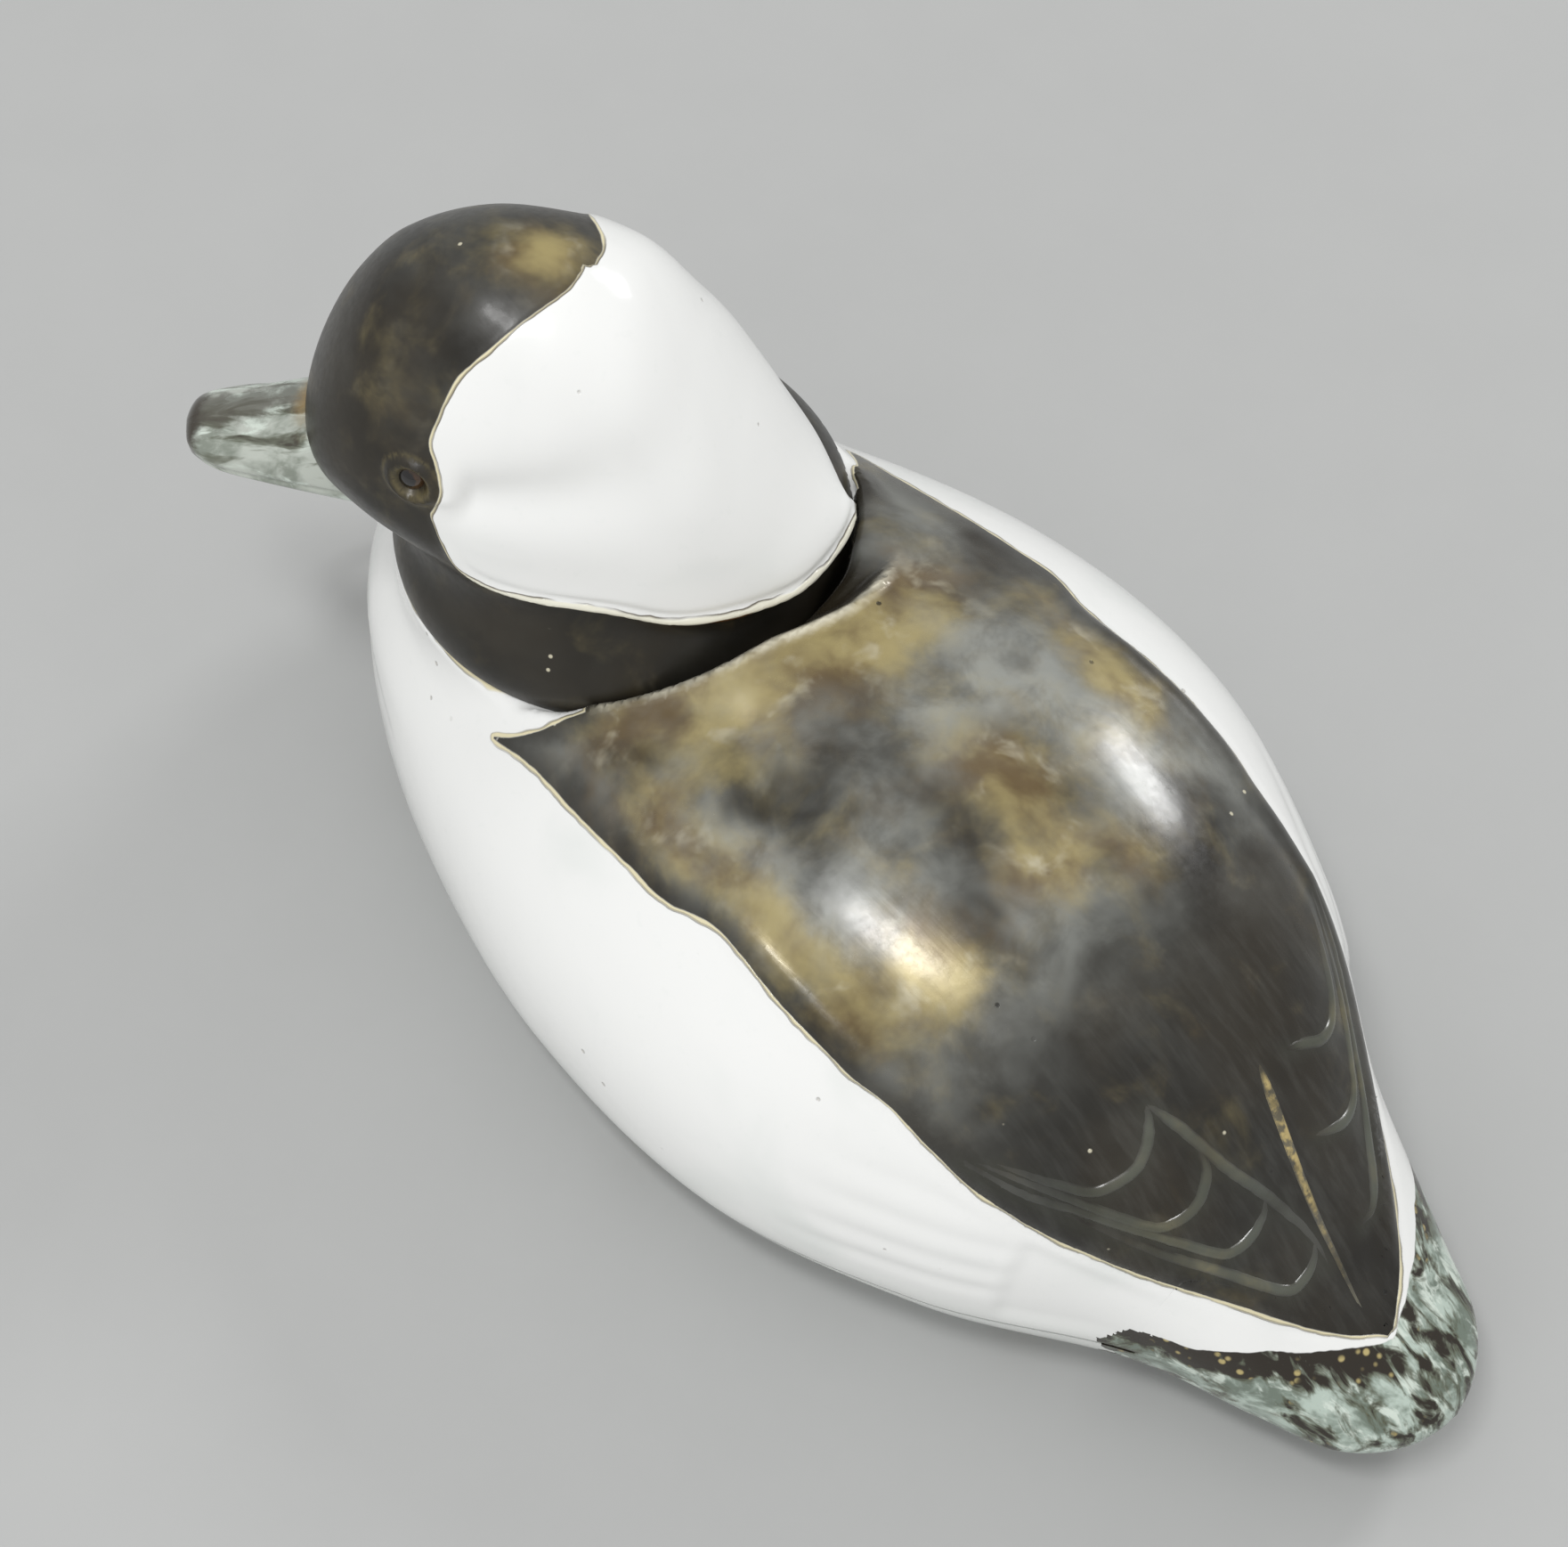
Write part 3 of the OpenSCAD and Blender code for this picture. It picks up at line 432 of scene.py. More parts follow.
def skin(field, low, high, pitch, sharp=()):
    """Points and quads of the skin where the field is 0, with crisp edges where two fields meet."""
    grid = sample(field, low, high, pitch)
    inside = grid < 0
    n = np.array(grid.shape) - 1
    corners = [(i, j, k) for i in (0, 1) for j in (0, 1) for k in (0, 1)]

    def at(a, c):
        return a[c[0]:c[0] + n[0], c[1]:c[1] + n[1], c[2]:c[2] + n[2]]
    count = sum(at(inside, c).astype(np.int8) for c in corners)
    live = (count > 0) & (count < 8)
    index = np.full(live.shape, -1)
    index[live] = np.arange(live.sum())
    values = [at(grid, c)[live] for c in corners]
    total = np.zeros((live.sum(), 3))
    crossings = np.zeros(live.sum())
    for a in range(8):
        for b in range(a + 1, 8):
            step_ab = np.subtract(corners[b], corners[a])
            if np.abs(step_ab).sum() != 1:
                continue
            hit = (values[a] < 0) != (values[b] < 0)
            t = values[a][hit] / (values[a][hit] - values[b][hit])
            total[hit] += np.array(corners[a]) + t[:, None] * step_ab
            crossings[hit] += 1
    p = np.asarray(low, float) + pitch * (np.argwhere(live) + total / crossings[:, None])
    quads = []
    for axis in range(3):
        i, j = (axis + 1) % 3, (axis + 2) % 3
        one = np.take(inside, np.arange(n[axis]), axis)
        two = np.take(inside, np.arange(1, n[axis] + 1), axis)
        edge = np.argwhere(one != two)
        edge = edge[(edge[:, i] > 0) & (edge[:, j] > 0) & (edge[:, i] < n[i]) & (edge[:, j] < n[j])]
        out = one[tuple(edge.T)]
        ring = []
        for di, dj in ((-1, -1), (0, -1), (0, 0), (-1, 0)):
            c = edge.copy()
            c[:, i] += di
            c[:, j] += dj
            ring.append(index[tuple(c.T)])
        q = np.stack(ring, 1)
        q[~out] = q[~out][:, ::-1]
        quads.append(q)
    quads = np.concatenate(quads)
    corner = np.asarray(low, float) + pitch * np.argwhere(live)
    edges = []
    for one, two in sharp:
        near = np.flatnonzero((np.abs(one(p)) < 2 * pitch) & (np.abs(two(p)) < 2 * pitch))
        both = np.ones(len(near), bool)
        for rule in (one, two):
            signs = sum((rule(corner[near] + pitch * np.array(c)) < 0).astype(int) for c in corners)
            both &= (signs > 0) & (signs < 8)
        edges.append((near[both], one, two))
    p = settle(field, p, pitch)
    pairs = np.concatenate([quads[:, [k, (k + 1) % 4]] for k in range(4)])
    pairs = np.concatenate([pairs, pairs[:, ::-1]])
    weight = np.bincount(pairs[:, 0], minlength=len(p))
    for _ in range(3):
        mean = np.stack([np.bincount(pairs[:, 0], p[pairs[:, 1], k], len(p)) for k in range(3)], 1)
        p = settle(field, .5 * p + .5 * mean / weight[:, None], pitch, 1)
        for edge, one, two in edges:
            for _ in range(3):
                p[edge] = settle(two, settle(one, p[edge], pitch, 1), pitch, 1)
    return p, quads


def face_normals(p, quads):
    """Outward direction at each point of a skin, from the faces round it."""
    out = np.cross(p[quads[:, 2]] - p[quads[:, 0]], p[quads[:, 3]] - p[quads[:, 1]])
    for _ in range(3):
        n = np.stack([np.bincount(quads.ravel(), out[:, k].repeat(4), len(p)) for k in range(3)], 1)
        n /= np.maximum(np.linalg.norm(n, axis=1), 1e-9)[:, None]
        out = n[quads].sum(1)
    return n


def new_piece(name, points, quads, body, slot, *nodes):
    """A smooth mesh object from points in millimetres, riding on a body in place of CAD nodes."""
    mesh = bpy.data.meshes.new(name)
    mesh.from_pydata((points * MM).tolist(), [], quads.tolist())
    mesh.validate()
    return smooth_piece(mesh, body, slot, *nodes, sharp=math.radians(CRISP_EDGE))


def smooth_piece(mesh, body, slot, *nodes, sharp=None):
    """A smooth object from a mesh, named like it."""
    mesh.polygons.foreach_set("use_smooth", np.ones(len(mesh.polygons), bool))
    if sharp:
        mesh.set_sharp_from_angle(angle=sharp)
    mesh.update()
    piece = bpy.data.objects.new(mesh.name, mesh)
    bpy.context.scene.collection.objects.link(piece)
    return settle_piece(piece, body, slot, *nodes)


def settle_piece(piece, body, slot, *nodes):
    """Rides a piece on a body, in place of CAD nodes."""
    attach(piece, body)
    if nodes:
        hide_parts(*nodes)
    return piece


def note(piece, **values):
    """Keeps named values at each point of a piece for its material."""
    for name, each in values.items():
        each = np.asarray(each, np.float32)
        kind, key = ("FLOAT", "value") if each.ndim == 1 else ("FLOAT_VECTOR", "vector")
        piece.data.attributes.new(name, kind, "POINT").data.foreach_set(key, each.ravel())


def from_line(p, line, chunk=4000):
    """Distance of each point from a line of points."""
    a, b = line[:-1].astype(np.float32), line[1:].astype(np.float32)
    along = b - a
    size = np.maximum((along ** 2).sum(1), 1e-9)
    out = np.empty(len(p))
    for i in range(0, len(p), chunk):
        q = p[i:i + chunk].astype(np.float32)[:, None] - a[None]
        t = np.clip((q * along).sum(2) / size, 0, 1)
        out[i:i + chunk] = np.sqrt(((q - t[..., None] * along) ** 2).sum(2)).min(1)
    return out


def within(x, y, ring):
    """True where a point lies inside a closed ring."""
    inside = np.zeros(len(x), bool)
    for (ax, ay), (bx, by) in zip(ring, ring[1:] + ring[:1]):
        if ay != by:
            over = ((ay > y) != (by > y)) & (x < (bx - ax) * (y - ay) / (by - ay) + ax)
            inside ^= over
    return inside


def finer(line, count=8):
    """More points along a line, on a smooth curve."""
    line = np.asarray(line, float)
    t = np.arange(len(line))
    fine = np.linspace(0, len(line) - 1, (len(line) - 1) * count + 1)
    return np.stack([curve(np.stack([t, line[:, k]], 1), fine) for k in range(line.shape[1])], 1)


def on_back(line):
    """A line seen from above, laid on the hull."""
    hull = hull_loft()
    xy = np.asarray(line, float)
    _, half, top, mid, _, up, _ = hull.at(xy[:, 0])
    share = np.clip(np.abs(xy[:, 1]) / np.maximum(half, .1), 0, 1)
    return np.column_stack([xy, mid + (top - mid) * (1 - share ** up) ** (1 / up)])


def back_edge(p, hull):
    """Distance inside the painted edge of the dark back, and of the back and neck together."""
    left, right = (settle(hull.skin, on_back(finer(line)), 4, 6) for line in (BACK_LEFT, BACK_RIGHT))
    ring = left[:, :2].tolist() + right[::-1, :2].tolist()
    away = np.minimum(from_line(p, left), from_line(p, right))
    back = np.where(within(p[:, 0], p[:, 1], ring) & (p[:, 2] > hull.high + 4), away, -away)
    x, y = p[:, 0] - hull.axis[0], p[:, 1] - hull.axis[1]
    turn = np.degrees(np.arctan2(y, x))
    above = (p[:, 2] - curve(NECK_EDGE, np.abs(turn))) * .85
    neck = np.where(np.hypot(x, y) < NECK_PAINT_REACH, above, -30)
    return back, np.maximum(back, neck)


def tail_edge(p):
    """Distance inside the mottled tail."""
    line = finer(TAIL_EDGE)
    side = np.column_stack([p[:, 0], np.abs(p[:, 1]), p[:, 2]])
    away = from_line(side, on_back(line))
    x = np.interp(np.abs(p[:, 1]), line[::-1, 1], line[::-1, 0])
    over = np.where(p[:, 0] < x, away, -away)
    under = np.minimum(away, MOTTLE_FRONT_BELOW - p[:, 0])
    return np.where(p[:, 2] < MOTTLE_BELOW_TOP, under, over)


def clouds(p, places, base):
    """Strength of soft clouds at each point, seen from above."""
    out = np.full(len(p), base, float)
    for x, y, long, wide, strength in places:
        out += strength * np.exp(-((p[:, 0] - x) / long) ** 2 - ((p[:, 1] - y) / wide) ** 2)
    return np.minimum(out, 1)


def from_feathers(p):
    """Distance of each point from the feather edges."""
    return np.minimum.reduce([from_line(p, on_back(finer(line))) for line in FEATHERS_LEFT + FEATHERS_RIGHT])


def neck_rim(p):
    """Distance outside the raised rim of the back behind the neck, and how strong the rim is."""
    s = sizes()
    x, y = p[:, 0] - s.neck_x / MM, p[:, 1] - s.neck_y / MM
    angle = np.degrees(np.arctan2(y, x)) % 360
    off = np.hypot(x, y) - s.neck_radius / MM - np.interp(angle, *zip(*RIM_PATH))
    return off, step(122, 131, angle) * step(214, 200, angle)


def hull_notes(piece, p, edge, feathers):
    """Keeps what the hull's paint needs at each point, with a painted highlight and painted shade at the rim
    behind the neck.
    """
    x, y = p[:, 0], p[:, 1]
    off, rim = neck_rim(p)
    # Inside the raised rim behind the neck the gold and slate clouds are left out: painted shade where the
    # neck shades the back.
    inner = (.25 + .75 * step(0, 8, edge)) * (1 - rim * step(.6, -.8, off))
    tail = tail_edge(p)
    # The band of gold along the raised rim behind the neck is a painted highlight.
    gold = clouds(p, GOLD_CLOUDS, .22) + .55 * rim * hump(off - 4, 6)
    note(piece, paint_edge=edge, rim_width=np.full(len(p), .5),
         gilding=np.minimum(gold, 1) * step(-52, -24, x) * inner,
         slating=clouds(p, SLATE_CLOUDS, .62) * (.08 + .92 * step(-58, -24, x)) * inner,
         streaking=step(-30, -62, x), feathering=hump(feathers, 1.9),
         # A light line painted along the crest of the rim behind the neck stands in for its highlight.
         thinning=rim * hump(off, .9) * step(.5, 2, edge), tail_edge=tail,
         tail_shade=step(9, 2, tail) * (.15 + .55 * step(-8, 6, y)))


def hull_relief(p, back, feathers):
    """How far the moulding of the wings and flanks stands out of the plain hull."""
    s = sizes()
    x, z = p[:, 0], p[:, 2]
    rear = step(24, 2, x)
    fade = step(-112, -96, x)
    edge = s.wing_edge / MM * fade * (.25 + .75 * rear)
    off, rim = neck_rim(p)
    lip = rim * (1.1 * hump(off, 1.5) - 1.1 * step(-.4, -4.5, off)) + .2 * hump(feathers, 1.8)
    ridge = edge * (step(-.6, 1.8, back) * (1 + .5 * hump(back - 3.4, 1.9)) - .42 * hump(back - 6.6, 2.2))
    ridge = (ridge - .35 * fade * rear * hump(back + .7, 1.0)) * step(23, 27, z)
    ripple = np.zeros(len(p))
    for height, drop in ((55, .10), (47.5, .06), (40, 0), (33, -.04)):
        ripple -= .34 * hump(z - height - drop * (x + 40), 2.1)
    ripple *= step(-18, -40, x) * step(-64, -58, x)
    stepped = -.75 * step(-60, -63.5, x) * step(-92, -72, x)
    return ridge + lip + (ripple + stepped) * step(-1.5, -6, back) * step(22, 28, z)


class Hull:
    """The distances that the hull's pieces are cut from."""

    def __init__(self):
        s = sizes()
        self.loft = hull_loft()
        self.low = s.seam_height / MM
        self.high = self.low + s.gasket / MM
        self.axis = (s.neck_x / MM, s.neck_y / MM)
        self.seat = s.seat_height / MM
        self.neck = s.neck_radius / MM
        self.socket = self.neck + s.socket_gap / MM

    def outside(self, p):
        return self.loft.distance(p[:, 0], p[:, 1], p[:, 2])

    def from_axis(self, p):
        """Distance of each point from the neck axis."""
        return np.hypot(p[:, 0] - self.axis[0], p[:, 1] - self.axis[1])

    def hollow(self, p, body):
        """The room inside the hull and the nut pocket under the neck deck."""
        u = self.loft.station(p[:, 0])
        roof = curve(HOLLOW_ROOF, u) * sizes().hull_height / MM
        room = np.maximum(np.maximum(body + HOLLOW_WALL, HOLLOW_FLOOR - p[:, 2]),
                          np.maximum(p[:, 0] - HOLLOW_FRONT, p[:, 2] - roof))
        pocket = np.maximum(self.from_axis(p) - POCKET_RADIUS,
                            np.maximum(HOLLOW_FLOOR - p[:, 2], p[:, 2] - POCKET_ROOF))
        return np.minimum(room, pocket)

    def skin(self, p, body=None):
        """The outside of the hull and the foot of the neck, before it is cut into pieces."""
        z = p[:, 2]
        body = self.outside(p) if body is None else body
        r = self.from_axis(p)
        flare = self.neck + STUMP_FLARE * step(STUMP_TOP, STUMP_FOOT, z)
        form = join(body, meet(r - flare, np.maximum(z - self.seat, STUMP_FOOT - z), .3), 7)
        return cut(form, np.maximum(r - self.socket, self.seat - z), 2.6)

    def relief(self, p, back, feathers):
        """Moves points of the skin out to the moulding, and those just under it by less."""
        n, _ = normals(self.skin, p)
        depth = step(-5, -.3, self.skin(p))
        return p + n * (hull_relief(p, back, feathers) * depth)[:, None]

    def back(self, p):
        x, y, z = p[:, 0], p[:, 1], p[:, 2]
        body = self.outside(p)
        r = self.from_axis(p)
        form = np.maximum(self.skin(p, body), self.high - z)
        form = np.maximum(form, -tail_notch(x, y))
        form = np.maximum(form, -self.hollow(p, body))
        bores = np.minimum.reduce([np.maximum(r - radius, floor - z) for radius, floor in DECK_BORES])
        return np.maximum(form, -bores)

    def bottom(self, p):
        x, y, z = p[:, 0], p[:, 1], p[:, 2]
        body = self.outside(p)
        form = np.maximum(np.maximum(body, z - self.low), -z)
        form = np.maximum(form, -tail_notch(x, y))
        form = np.maximum(form, -self.hollow(p, body))
        bar = np.maximum(np.maximum(np.abs(x - BALLAST_MIDDLE) - BALLAST_HALF_LENGTH,
                                    np.abs(y) - BALLAST_HALF_WIDTH), z - BALLAST_TOP)
        holes = [np.hypot(x - a, np.abs(y) - b) for a, b in self.screws()]
        wells = np.minimum.reduce([np.maximum(h - WELL_RADIUS, z - WELL_TOP) for h in holes])
        return np.maximum(form, -np.minimum(bar, wells))

    def screws(self):
        """Places of the hull screws, on each side."""
        for x in SCREW_STATIONS:
            _, half, _, mid, low, _, down = self.loft.at(x)
            share = max(float(mid) - self.low, 0) / float(mid - low)
            yield x, float(half) * (1 - share ** down) ** (1 / down) - SCREW_INSET

    def tail(self, p):
        return np.maximum(self.outside(p), tail_notch(p[:, 0], p[:, 1]))


def hull_piece(name, slot, replaced, hull, field, pitch, low, high, levels=(), carved=True):
    """One painted piece of the hull, with crisp edges at its flat faces and at the tail joint."""
    sharp = [(hull.outside, lambda q, z=z: q[:, 2] - z) for z in levels]
    sharp.append((hull.outside, lambda q: tail_notch(q[:, 0], q[:, 1])))
    p, quads = skin(field, low, high, pitch, sharp)
    feathers = np.full(len(p), 40.0)
    edge = -feathers
    if carved:
        back, edge = back_edge(p, hull)
        feathers = from_feathers(p)
        p = hull.relief(p, back, feathers)
    piece = new_piece(name, p, quads, "hull", slot, replaced)
    hull_notes(piece, p, edge, feathers)
    piece.data.materials.append(hull_paint())


# Node building

def fill(tree, socket, value):
    """Links a socket to another one, or sets it to a colour or a plain value."""
    if isinstance(value, bpy.types.NodeSocket):
        tree.links.new(value, socket)
    else:
        socket.default_value = (*value[:3], 1) if socket.type == "RGBA" else value


def node(tree, kind, links=None, **settings):
    """Adds a node, sets its properties and links or fills its inputs."""
    made = tree.nodes.new(kind)
    for key, value in settings.items():
        setattr(made, key, value)
    for key, value in (links or {}).items():
        fill(tree, made.inputs[key], value)
    return made


def calc(tree, operation, a, b=0.0, clamp=False):
    return node(tree, "ShaderNodeMath", {0: a, 1: b}, operation=operation, use_clamp=clamp).outputs[0]


def times(tree, a, b, clamp=False):
    return calc(tree, "MULTIPLY", a, b, clamp)


def plus(tree, a, b):
    return calc(tree, "ADD", a, b)


def minus(tree, a, b):
    return calc(tree, "SUBTRACT", a, b)


def blend(tree, share, a, b):
    """Mix of two colours."""
    made = node(tree, "ShaderNodeMix", {"Factor": share}, data_type="RGBA")
    for key, value in (("A_Color", a), ("B_Color", b)):
        fill(tree, next(s for s in made.inputs if s.identifier == key), value)
    return next(s for s in made.outputs if s.identifier == "Result_Color")


def soft(tree, value, low, high, to_low=0.0, to_high=1.0):
    """Soft step of a value between low and high."""
    return node(tree, "ShaderNodeMapRange",
                {"Value": value, "From Min": low, "From Max": high, "To Min": to_low, "To Max": to_high},
                interpolation_type="SMOOTHSTEP").outputs[0]


def noise(tree, vector, scale, detail=3.0, rough=.55, twist=0.0):
    return node(tree, "ShaderNodeTexNoise",
                {"Vector": vector, "Scale": scale, "Detail": detail, "Roughness": rough,
                 "Distortion": twist}).outputs["Fac"]


def place(tree, vector, move=(0, 0, 0), turn=(0, 0, 0), scale=(1, 1, 1)):
    return node(tree, "ShaderNodeMapping",
                {"Vector": vector, "Location": move, "Rotation": turn, "Scale": scale}).outputs[0]


def attribute(tree, name, output="Fac"):
    return node(tree, "ShaderNodeAttribute", attribute_name=name).outputs[output]


def group(name, inputs, outputs):
    """A shader group with a place and other named inputs, and named outputs."""
    tree = bpy.data.node_groups.new(name, "ShaderNodeTree")
    for label, kind, value in [("Place", VECTOR, (0.0, 0.0, 0.0))] + inputs:
        socket = tree.interface.new_socket(label, in_out="INPUT", socket_type=kind)
        socket.default_value = (*value, 1) if kind == COLOUR else value
    for label, kind in outputs:
        tree.interface.new_socket(label, in_out="OUTPUT", socket_type=kind)
    given = node(tree, "NodeGroupInput").outputs
    return tree, given, given["Place"], node(tree, "NodeGroupOutput").inputs


COLOUR, VALUE, VECTOR = "NodeSocketColor", "NodeSocketFloat", "NodeSocketVector"


def enamel_white_group():
    """White enamel: faint cool pools, brush marks and pinholes."""
    tree, given, at, out = group("enamel_white", [
        ("White", COLOUR, (.8, .8, .8)), ("Shade", COLOUR, (.6, .6, .6)),
        ("Pools", VALUE, .35)], [("Colour", COLOUR), ("Roughness", VALUE), ("Height", VALUE)])
    cloud = noise(tree, at, 28, 3, .5, .6)
    pools = times(tree, soft(tree, cloud, .5, .78), given["Pools"])
    fine = noise(tree, at, 420, 2, .6)
    colour = blend(tree, pools, given["White"], given["Shade"])
    colour = blend(tree, soft(tree, fine, .60, .80, 0, .10), colour, given["Shade"])
    pin = node(tree, "ShaderNodeTexVoronoi", {"Vector": at, "Scale": 170.0, "Randomness": 1.0})
    rare = soft(tree, noise(tree, at, 60, 1), .58, .62)
    hole = times(tree, soft(tree, pin.outputs["Distance"], .10, .05), rare)
    colour = blend(tree, times(tree, hole, .45), colour, (.30, .27, .20))
    wave = times(tree, noise(tree, at, 55, 2, .5), .8)
    feed(tree, out, Colour=colour, Roughness=soft(tree, noise(tree, at, 90, 4, .6), .35, .7, .10, .22),
         Height=minus(tree, wave, hole))
    return tree


def bronze_lustre_group():
    """Dark lustre glaze: soft bronze and slate clouds, painted glints in the gold, fine grain, streaks and
    bright specks.
    """
    tree, given, at, out = group("bronze_lustre", [
        ("Dark", COLOUR, (.02, .016, .01)), ("Umber", COLOUR, (.06, .04, .02)),
        ("Bronze", COLOUR, (.36, .25, .1)), ("Slate", COLOUR, (.12, .12, .12)), ("Gilding", VALUE, .1),
        ("Slating", VALUE, .3), ("Streaking", VALUE, 0.0)],
        [("Colour", COLOUR), ("Roughness", VALUE), ("Metallic", VALUE), ("Height", VALUE)])
    grain = noise(tree, at, 700, 3, .6)
    warm = soft(tree, noise(tree, at, 30, 3, .55, .3), .36, .66)
    colour = blend(tree, warm, given["Dark"], given["Umber"])
    cool = soft(tree, noise(tree, place(tree, at, (.31, .17, .05)), 42, 3, .55, .2), .26, .66)
    patchy = soft(tree, noise(tree, place(tree, at, (.12, .4, .2)), 85, 4, .6, .3), .40, .70, 0, .5)
    slate = blend(tree, patchy, given["Slate"], given["Umber"])
    colour = blend(tree, times(tree, cool, given["Slating"]), colour, slate)
    cloud = noise(tree, place(tree, at, (.07, -.23, .11)), 75, 4, .58, .35)
    drift = times(tree, minus(tree, cloud, .5), 1.5)
    gold = soft(tree, plus(tree, given["Gilding"], drift), .05, 1.15)
    hue = soft(tree, noise(tree, place(tree, at, (.5, .2, .7)), 55, 4, .55, .3), .34, .62)
    gilt = blend(tree, hue, (.155, .102, .040), given["Bronze"])
    # Painted highlight: pale patches in the gold stand in for glints.
    gilt = blend(tree, soft(tree, noise(tree, at, 120, 3, .55, .3), .54, .74, 0, .55), gilt, (.70, .65, .48))
    colour = blend(tree, times(tree, gold, .78), colour, gilt)
    streak = noise(tree, place(tree, at, turn=(0, 0, -.1), scale=(.05, 1, .3)), 380, 4, .6)
    lines = times(tree, soft(tree, streak, .42, .74, 0, .07), given["Streaking"])
    colour = blend(tree, lines, colour, given["Slate"])
    dots = node(tree, "ShaderNodeTexVoronoi", {"Vector": at, "Scale": 190.0, "Randomness": 1.0})
    rare = soft(tree, noise(tree, at, 51, 1), .66, .69)
    speck = times(tree, soft(tree, dots.outputs["Distance"], .10, .05), rare)
    pits = node(tree, "ShaderNodeTexVoronoi", {"Vector": place(tree, at, (.5, .1, .3)), "Scale": 150.0})
    pit = times(tree, soft(tree, pits.outputs["Distance"], .09, .05),
                soft(tree, noise(tree, place(tree, at, (.2, .6, .1)), 44, 1), .60, .64))
    colour = blend(tree, times(tree, speck, .85), colour, (.60, .56, .42))
    colour = blend(tree, times(tree, pit, .8), colour, (.006, .005, .004))
    rough = plus(tree, soft(tree, grain, .3, .7, .18, .25), times(tree, warm, .05))
    wave = plus(tree, times(tree, noise(tree, at, 70, 3, .5), .8), times(tree, streak, .10))
    dents = minus(tree, times(tree, speck, .5), times(tree, pit, .7))
    feed(tree, out, Colour=colour, Roughness=rough, Metallic=times(tree, gold, .15),
         Height=plus(tree, wave, dents))
    return tree


def painted_edge_group():
    """Masks along a paint edge from the distance inside it, in millimetres."""
    tree, given, at, out = group("painted_edge", [
        ("Inside", VALUE, 0.0), ("Wobble", VALUE, .5), ("Rim Width", VALUE, .55)],
        [("Inside", VALUE), ("Rim", VALUE), ("Line", VALUE)])
    shake = minus(tree, noise(tree, at, 260, 2, .5), .5)
    sway = minus(tree, noise(tree, place(tree, at, (.2, .1, 0)), 75, 2, .5), .5)
    shift = times(tree, plus(tree, times(tree, shake, .6), sway), given["Wobble"])
    d = plus(tree, given["Inside"], shift)
    width = plus(tree, given["Rim Width"], soft(tree, noise(tree, at, 85, 2, .6), .32, .68, -.30, .30))
    outer = soft(tree, plus(tree, d, width), -.25, .10)
    inner = soft(tree, d, .12, -.10)
    off = calc(tree, "ABSOLUTE", plus(tree, d, plus(tree, width, .12)))
    feed(tree, out, Inside=soft(tree, d, -.12, .16), Rim=times(tree, outer, inner),
         Line=times(tree, soft(tree, off, .28, .10), soft(tree, sway, -.22, .02)))
    return tree


def mottled_glaze_group():
    """Mottled celadon with dark streaks along the piece and gold specks."""
    tree, given, at, out = group("mottled_glaze", [
        ("Pale", COLOUR, (.47, .58, .52)), ("Deep", COLOUR, (.13, .19, .15)),
        ("Streak", COLOUR, (.02, .02, .01)), ("Gold", COLOUR, (.36, .25, .1)), ("Darkness", VALUE, .5)],
        [("Colour", COLOUR), ("Roughness", VALUE), ("Height", VALUE)])
    long = place(tree, at, scale=(.26, 1, .7))
    cloud = noise(tree, place(tree, at, scale=(.6, 1, 1)), 170, 4, .6, .4)
    cells = noise(tree, place(tree, long, (.4, .2, .1)), 330, 4, .6, .5)
    colour = blend(tree, soft(tree, cloud, .40, .62), given["Pale"], given["Deep"])
    colour = blend(tree, soft(tree, cells, .52, .64, 0, .9), colour, (.60, .67, .60))
    veins = noise(tree, place(tree, long, (.15, .33, .21)), 270, 4, .58, .7)
    depth = plus(tree, veins, times(tree, given["Darkness"], .30))
    colour = blend(tree, soft(tree, depth, .47, .58, 0, .85), colour, (.085, .092, .058))
    dark = soft(tree, depth, .55, .64)
    colour = blend(tree, dark, colour, given["Streak"])
    dots = node(tree, "ShaderNodeTexVoronoi", {"Vector": at, "Scale": 400.0, "Randomness": 1.0})
    gold = times(tree, soft(tree, dots.outputs["Distance"], .34, .16),
                 times(tree, dark, soft(tree, noise(tree, at, 110, 2), .46, .56)))
    colour = blend(tree, gold, colour, given["Gold"])
    feed(tree, out, Colour=colour, Roughness=soft(tree, cells, .3, .7, .16, .30),
         Height=plus(tree, times(tree, cloud, .6), times(tree, dark, -.35)))
    return tree


def worn_metal_group():
    """Turned or cast metal with tarnish, fine scratches and pits."""
    tree, given, at, out = group("worn_metal", [
        ("Metal", COLOUR, (.6, .43, .17)), ("Tarnish", COLOUR, (.12, .08, .04)),
        ("Wear", VALUE, .5), ("Smooth", VALUE, .25)],
        [("Colour", COLOUR), ("Roughness", VALUE), ("Height", VALUE)])
    stain = noise(tree, at, 160, 5, .62, .6)
    pits = noise(tree, at, 900, 3, .6)
    marks = noise(tree, place(tree, at, scale=(1, 1, .12)), 1500, 2, .5)
    old = times(tree, soft(tree, stain, .40, .70), given["Wear"])
    colour = blend(tree, old, given["Metal"], given["Tarnish"])
    colour = blend(tree, soft(tree, marks, .55, .8, 0, .25), colour, given["Tarnish"])
    feed(tree, out, Colour=colour, Roughness=plus(tree, given["Smooth"], times(tree, old, .35)),
         Height=plus(tree, times(tree, pits, .5), times(tree, marks, .5)))
    return tree


GROUPS = {"enamel_white": enamel_white_group, "bronze_lustre": bronze_lustre_group,
          "painted_edge": painted_edge_group, "mottled_glaze": mottled_glaze_group,
          "worn_metal": worn_metal_group}


def use(tree, name, **values):
    """Places a shared group in a material with its own values."""
    made = tree.nodes.new("ShaderNodeGroup")
    made.node_tree = bpy.data.node_groups.get(name) or GROUPS[name]()
    for key, value in values.items():
        fill(tree, made.inputs[key.replace("_", " ")], value)
    return made.outputs


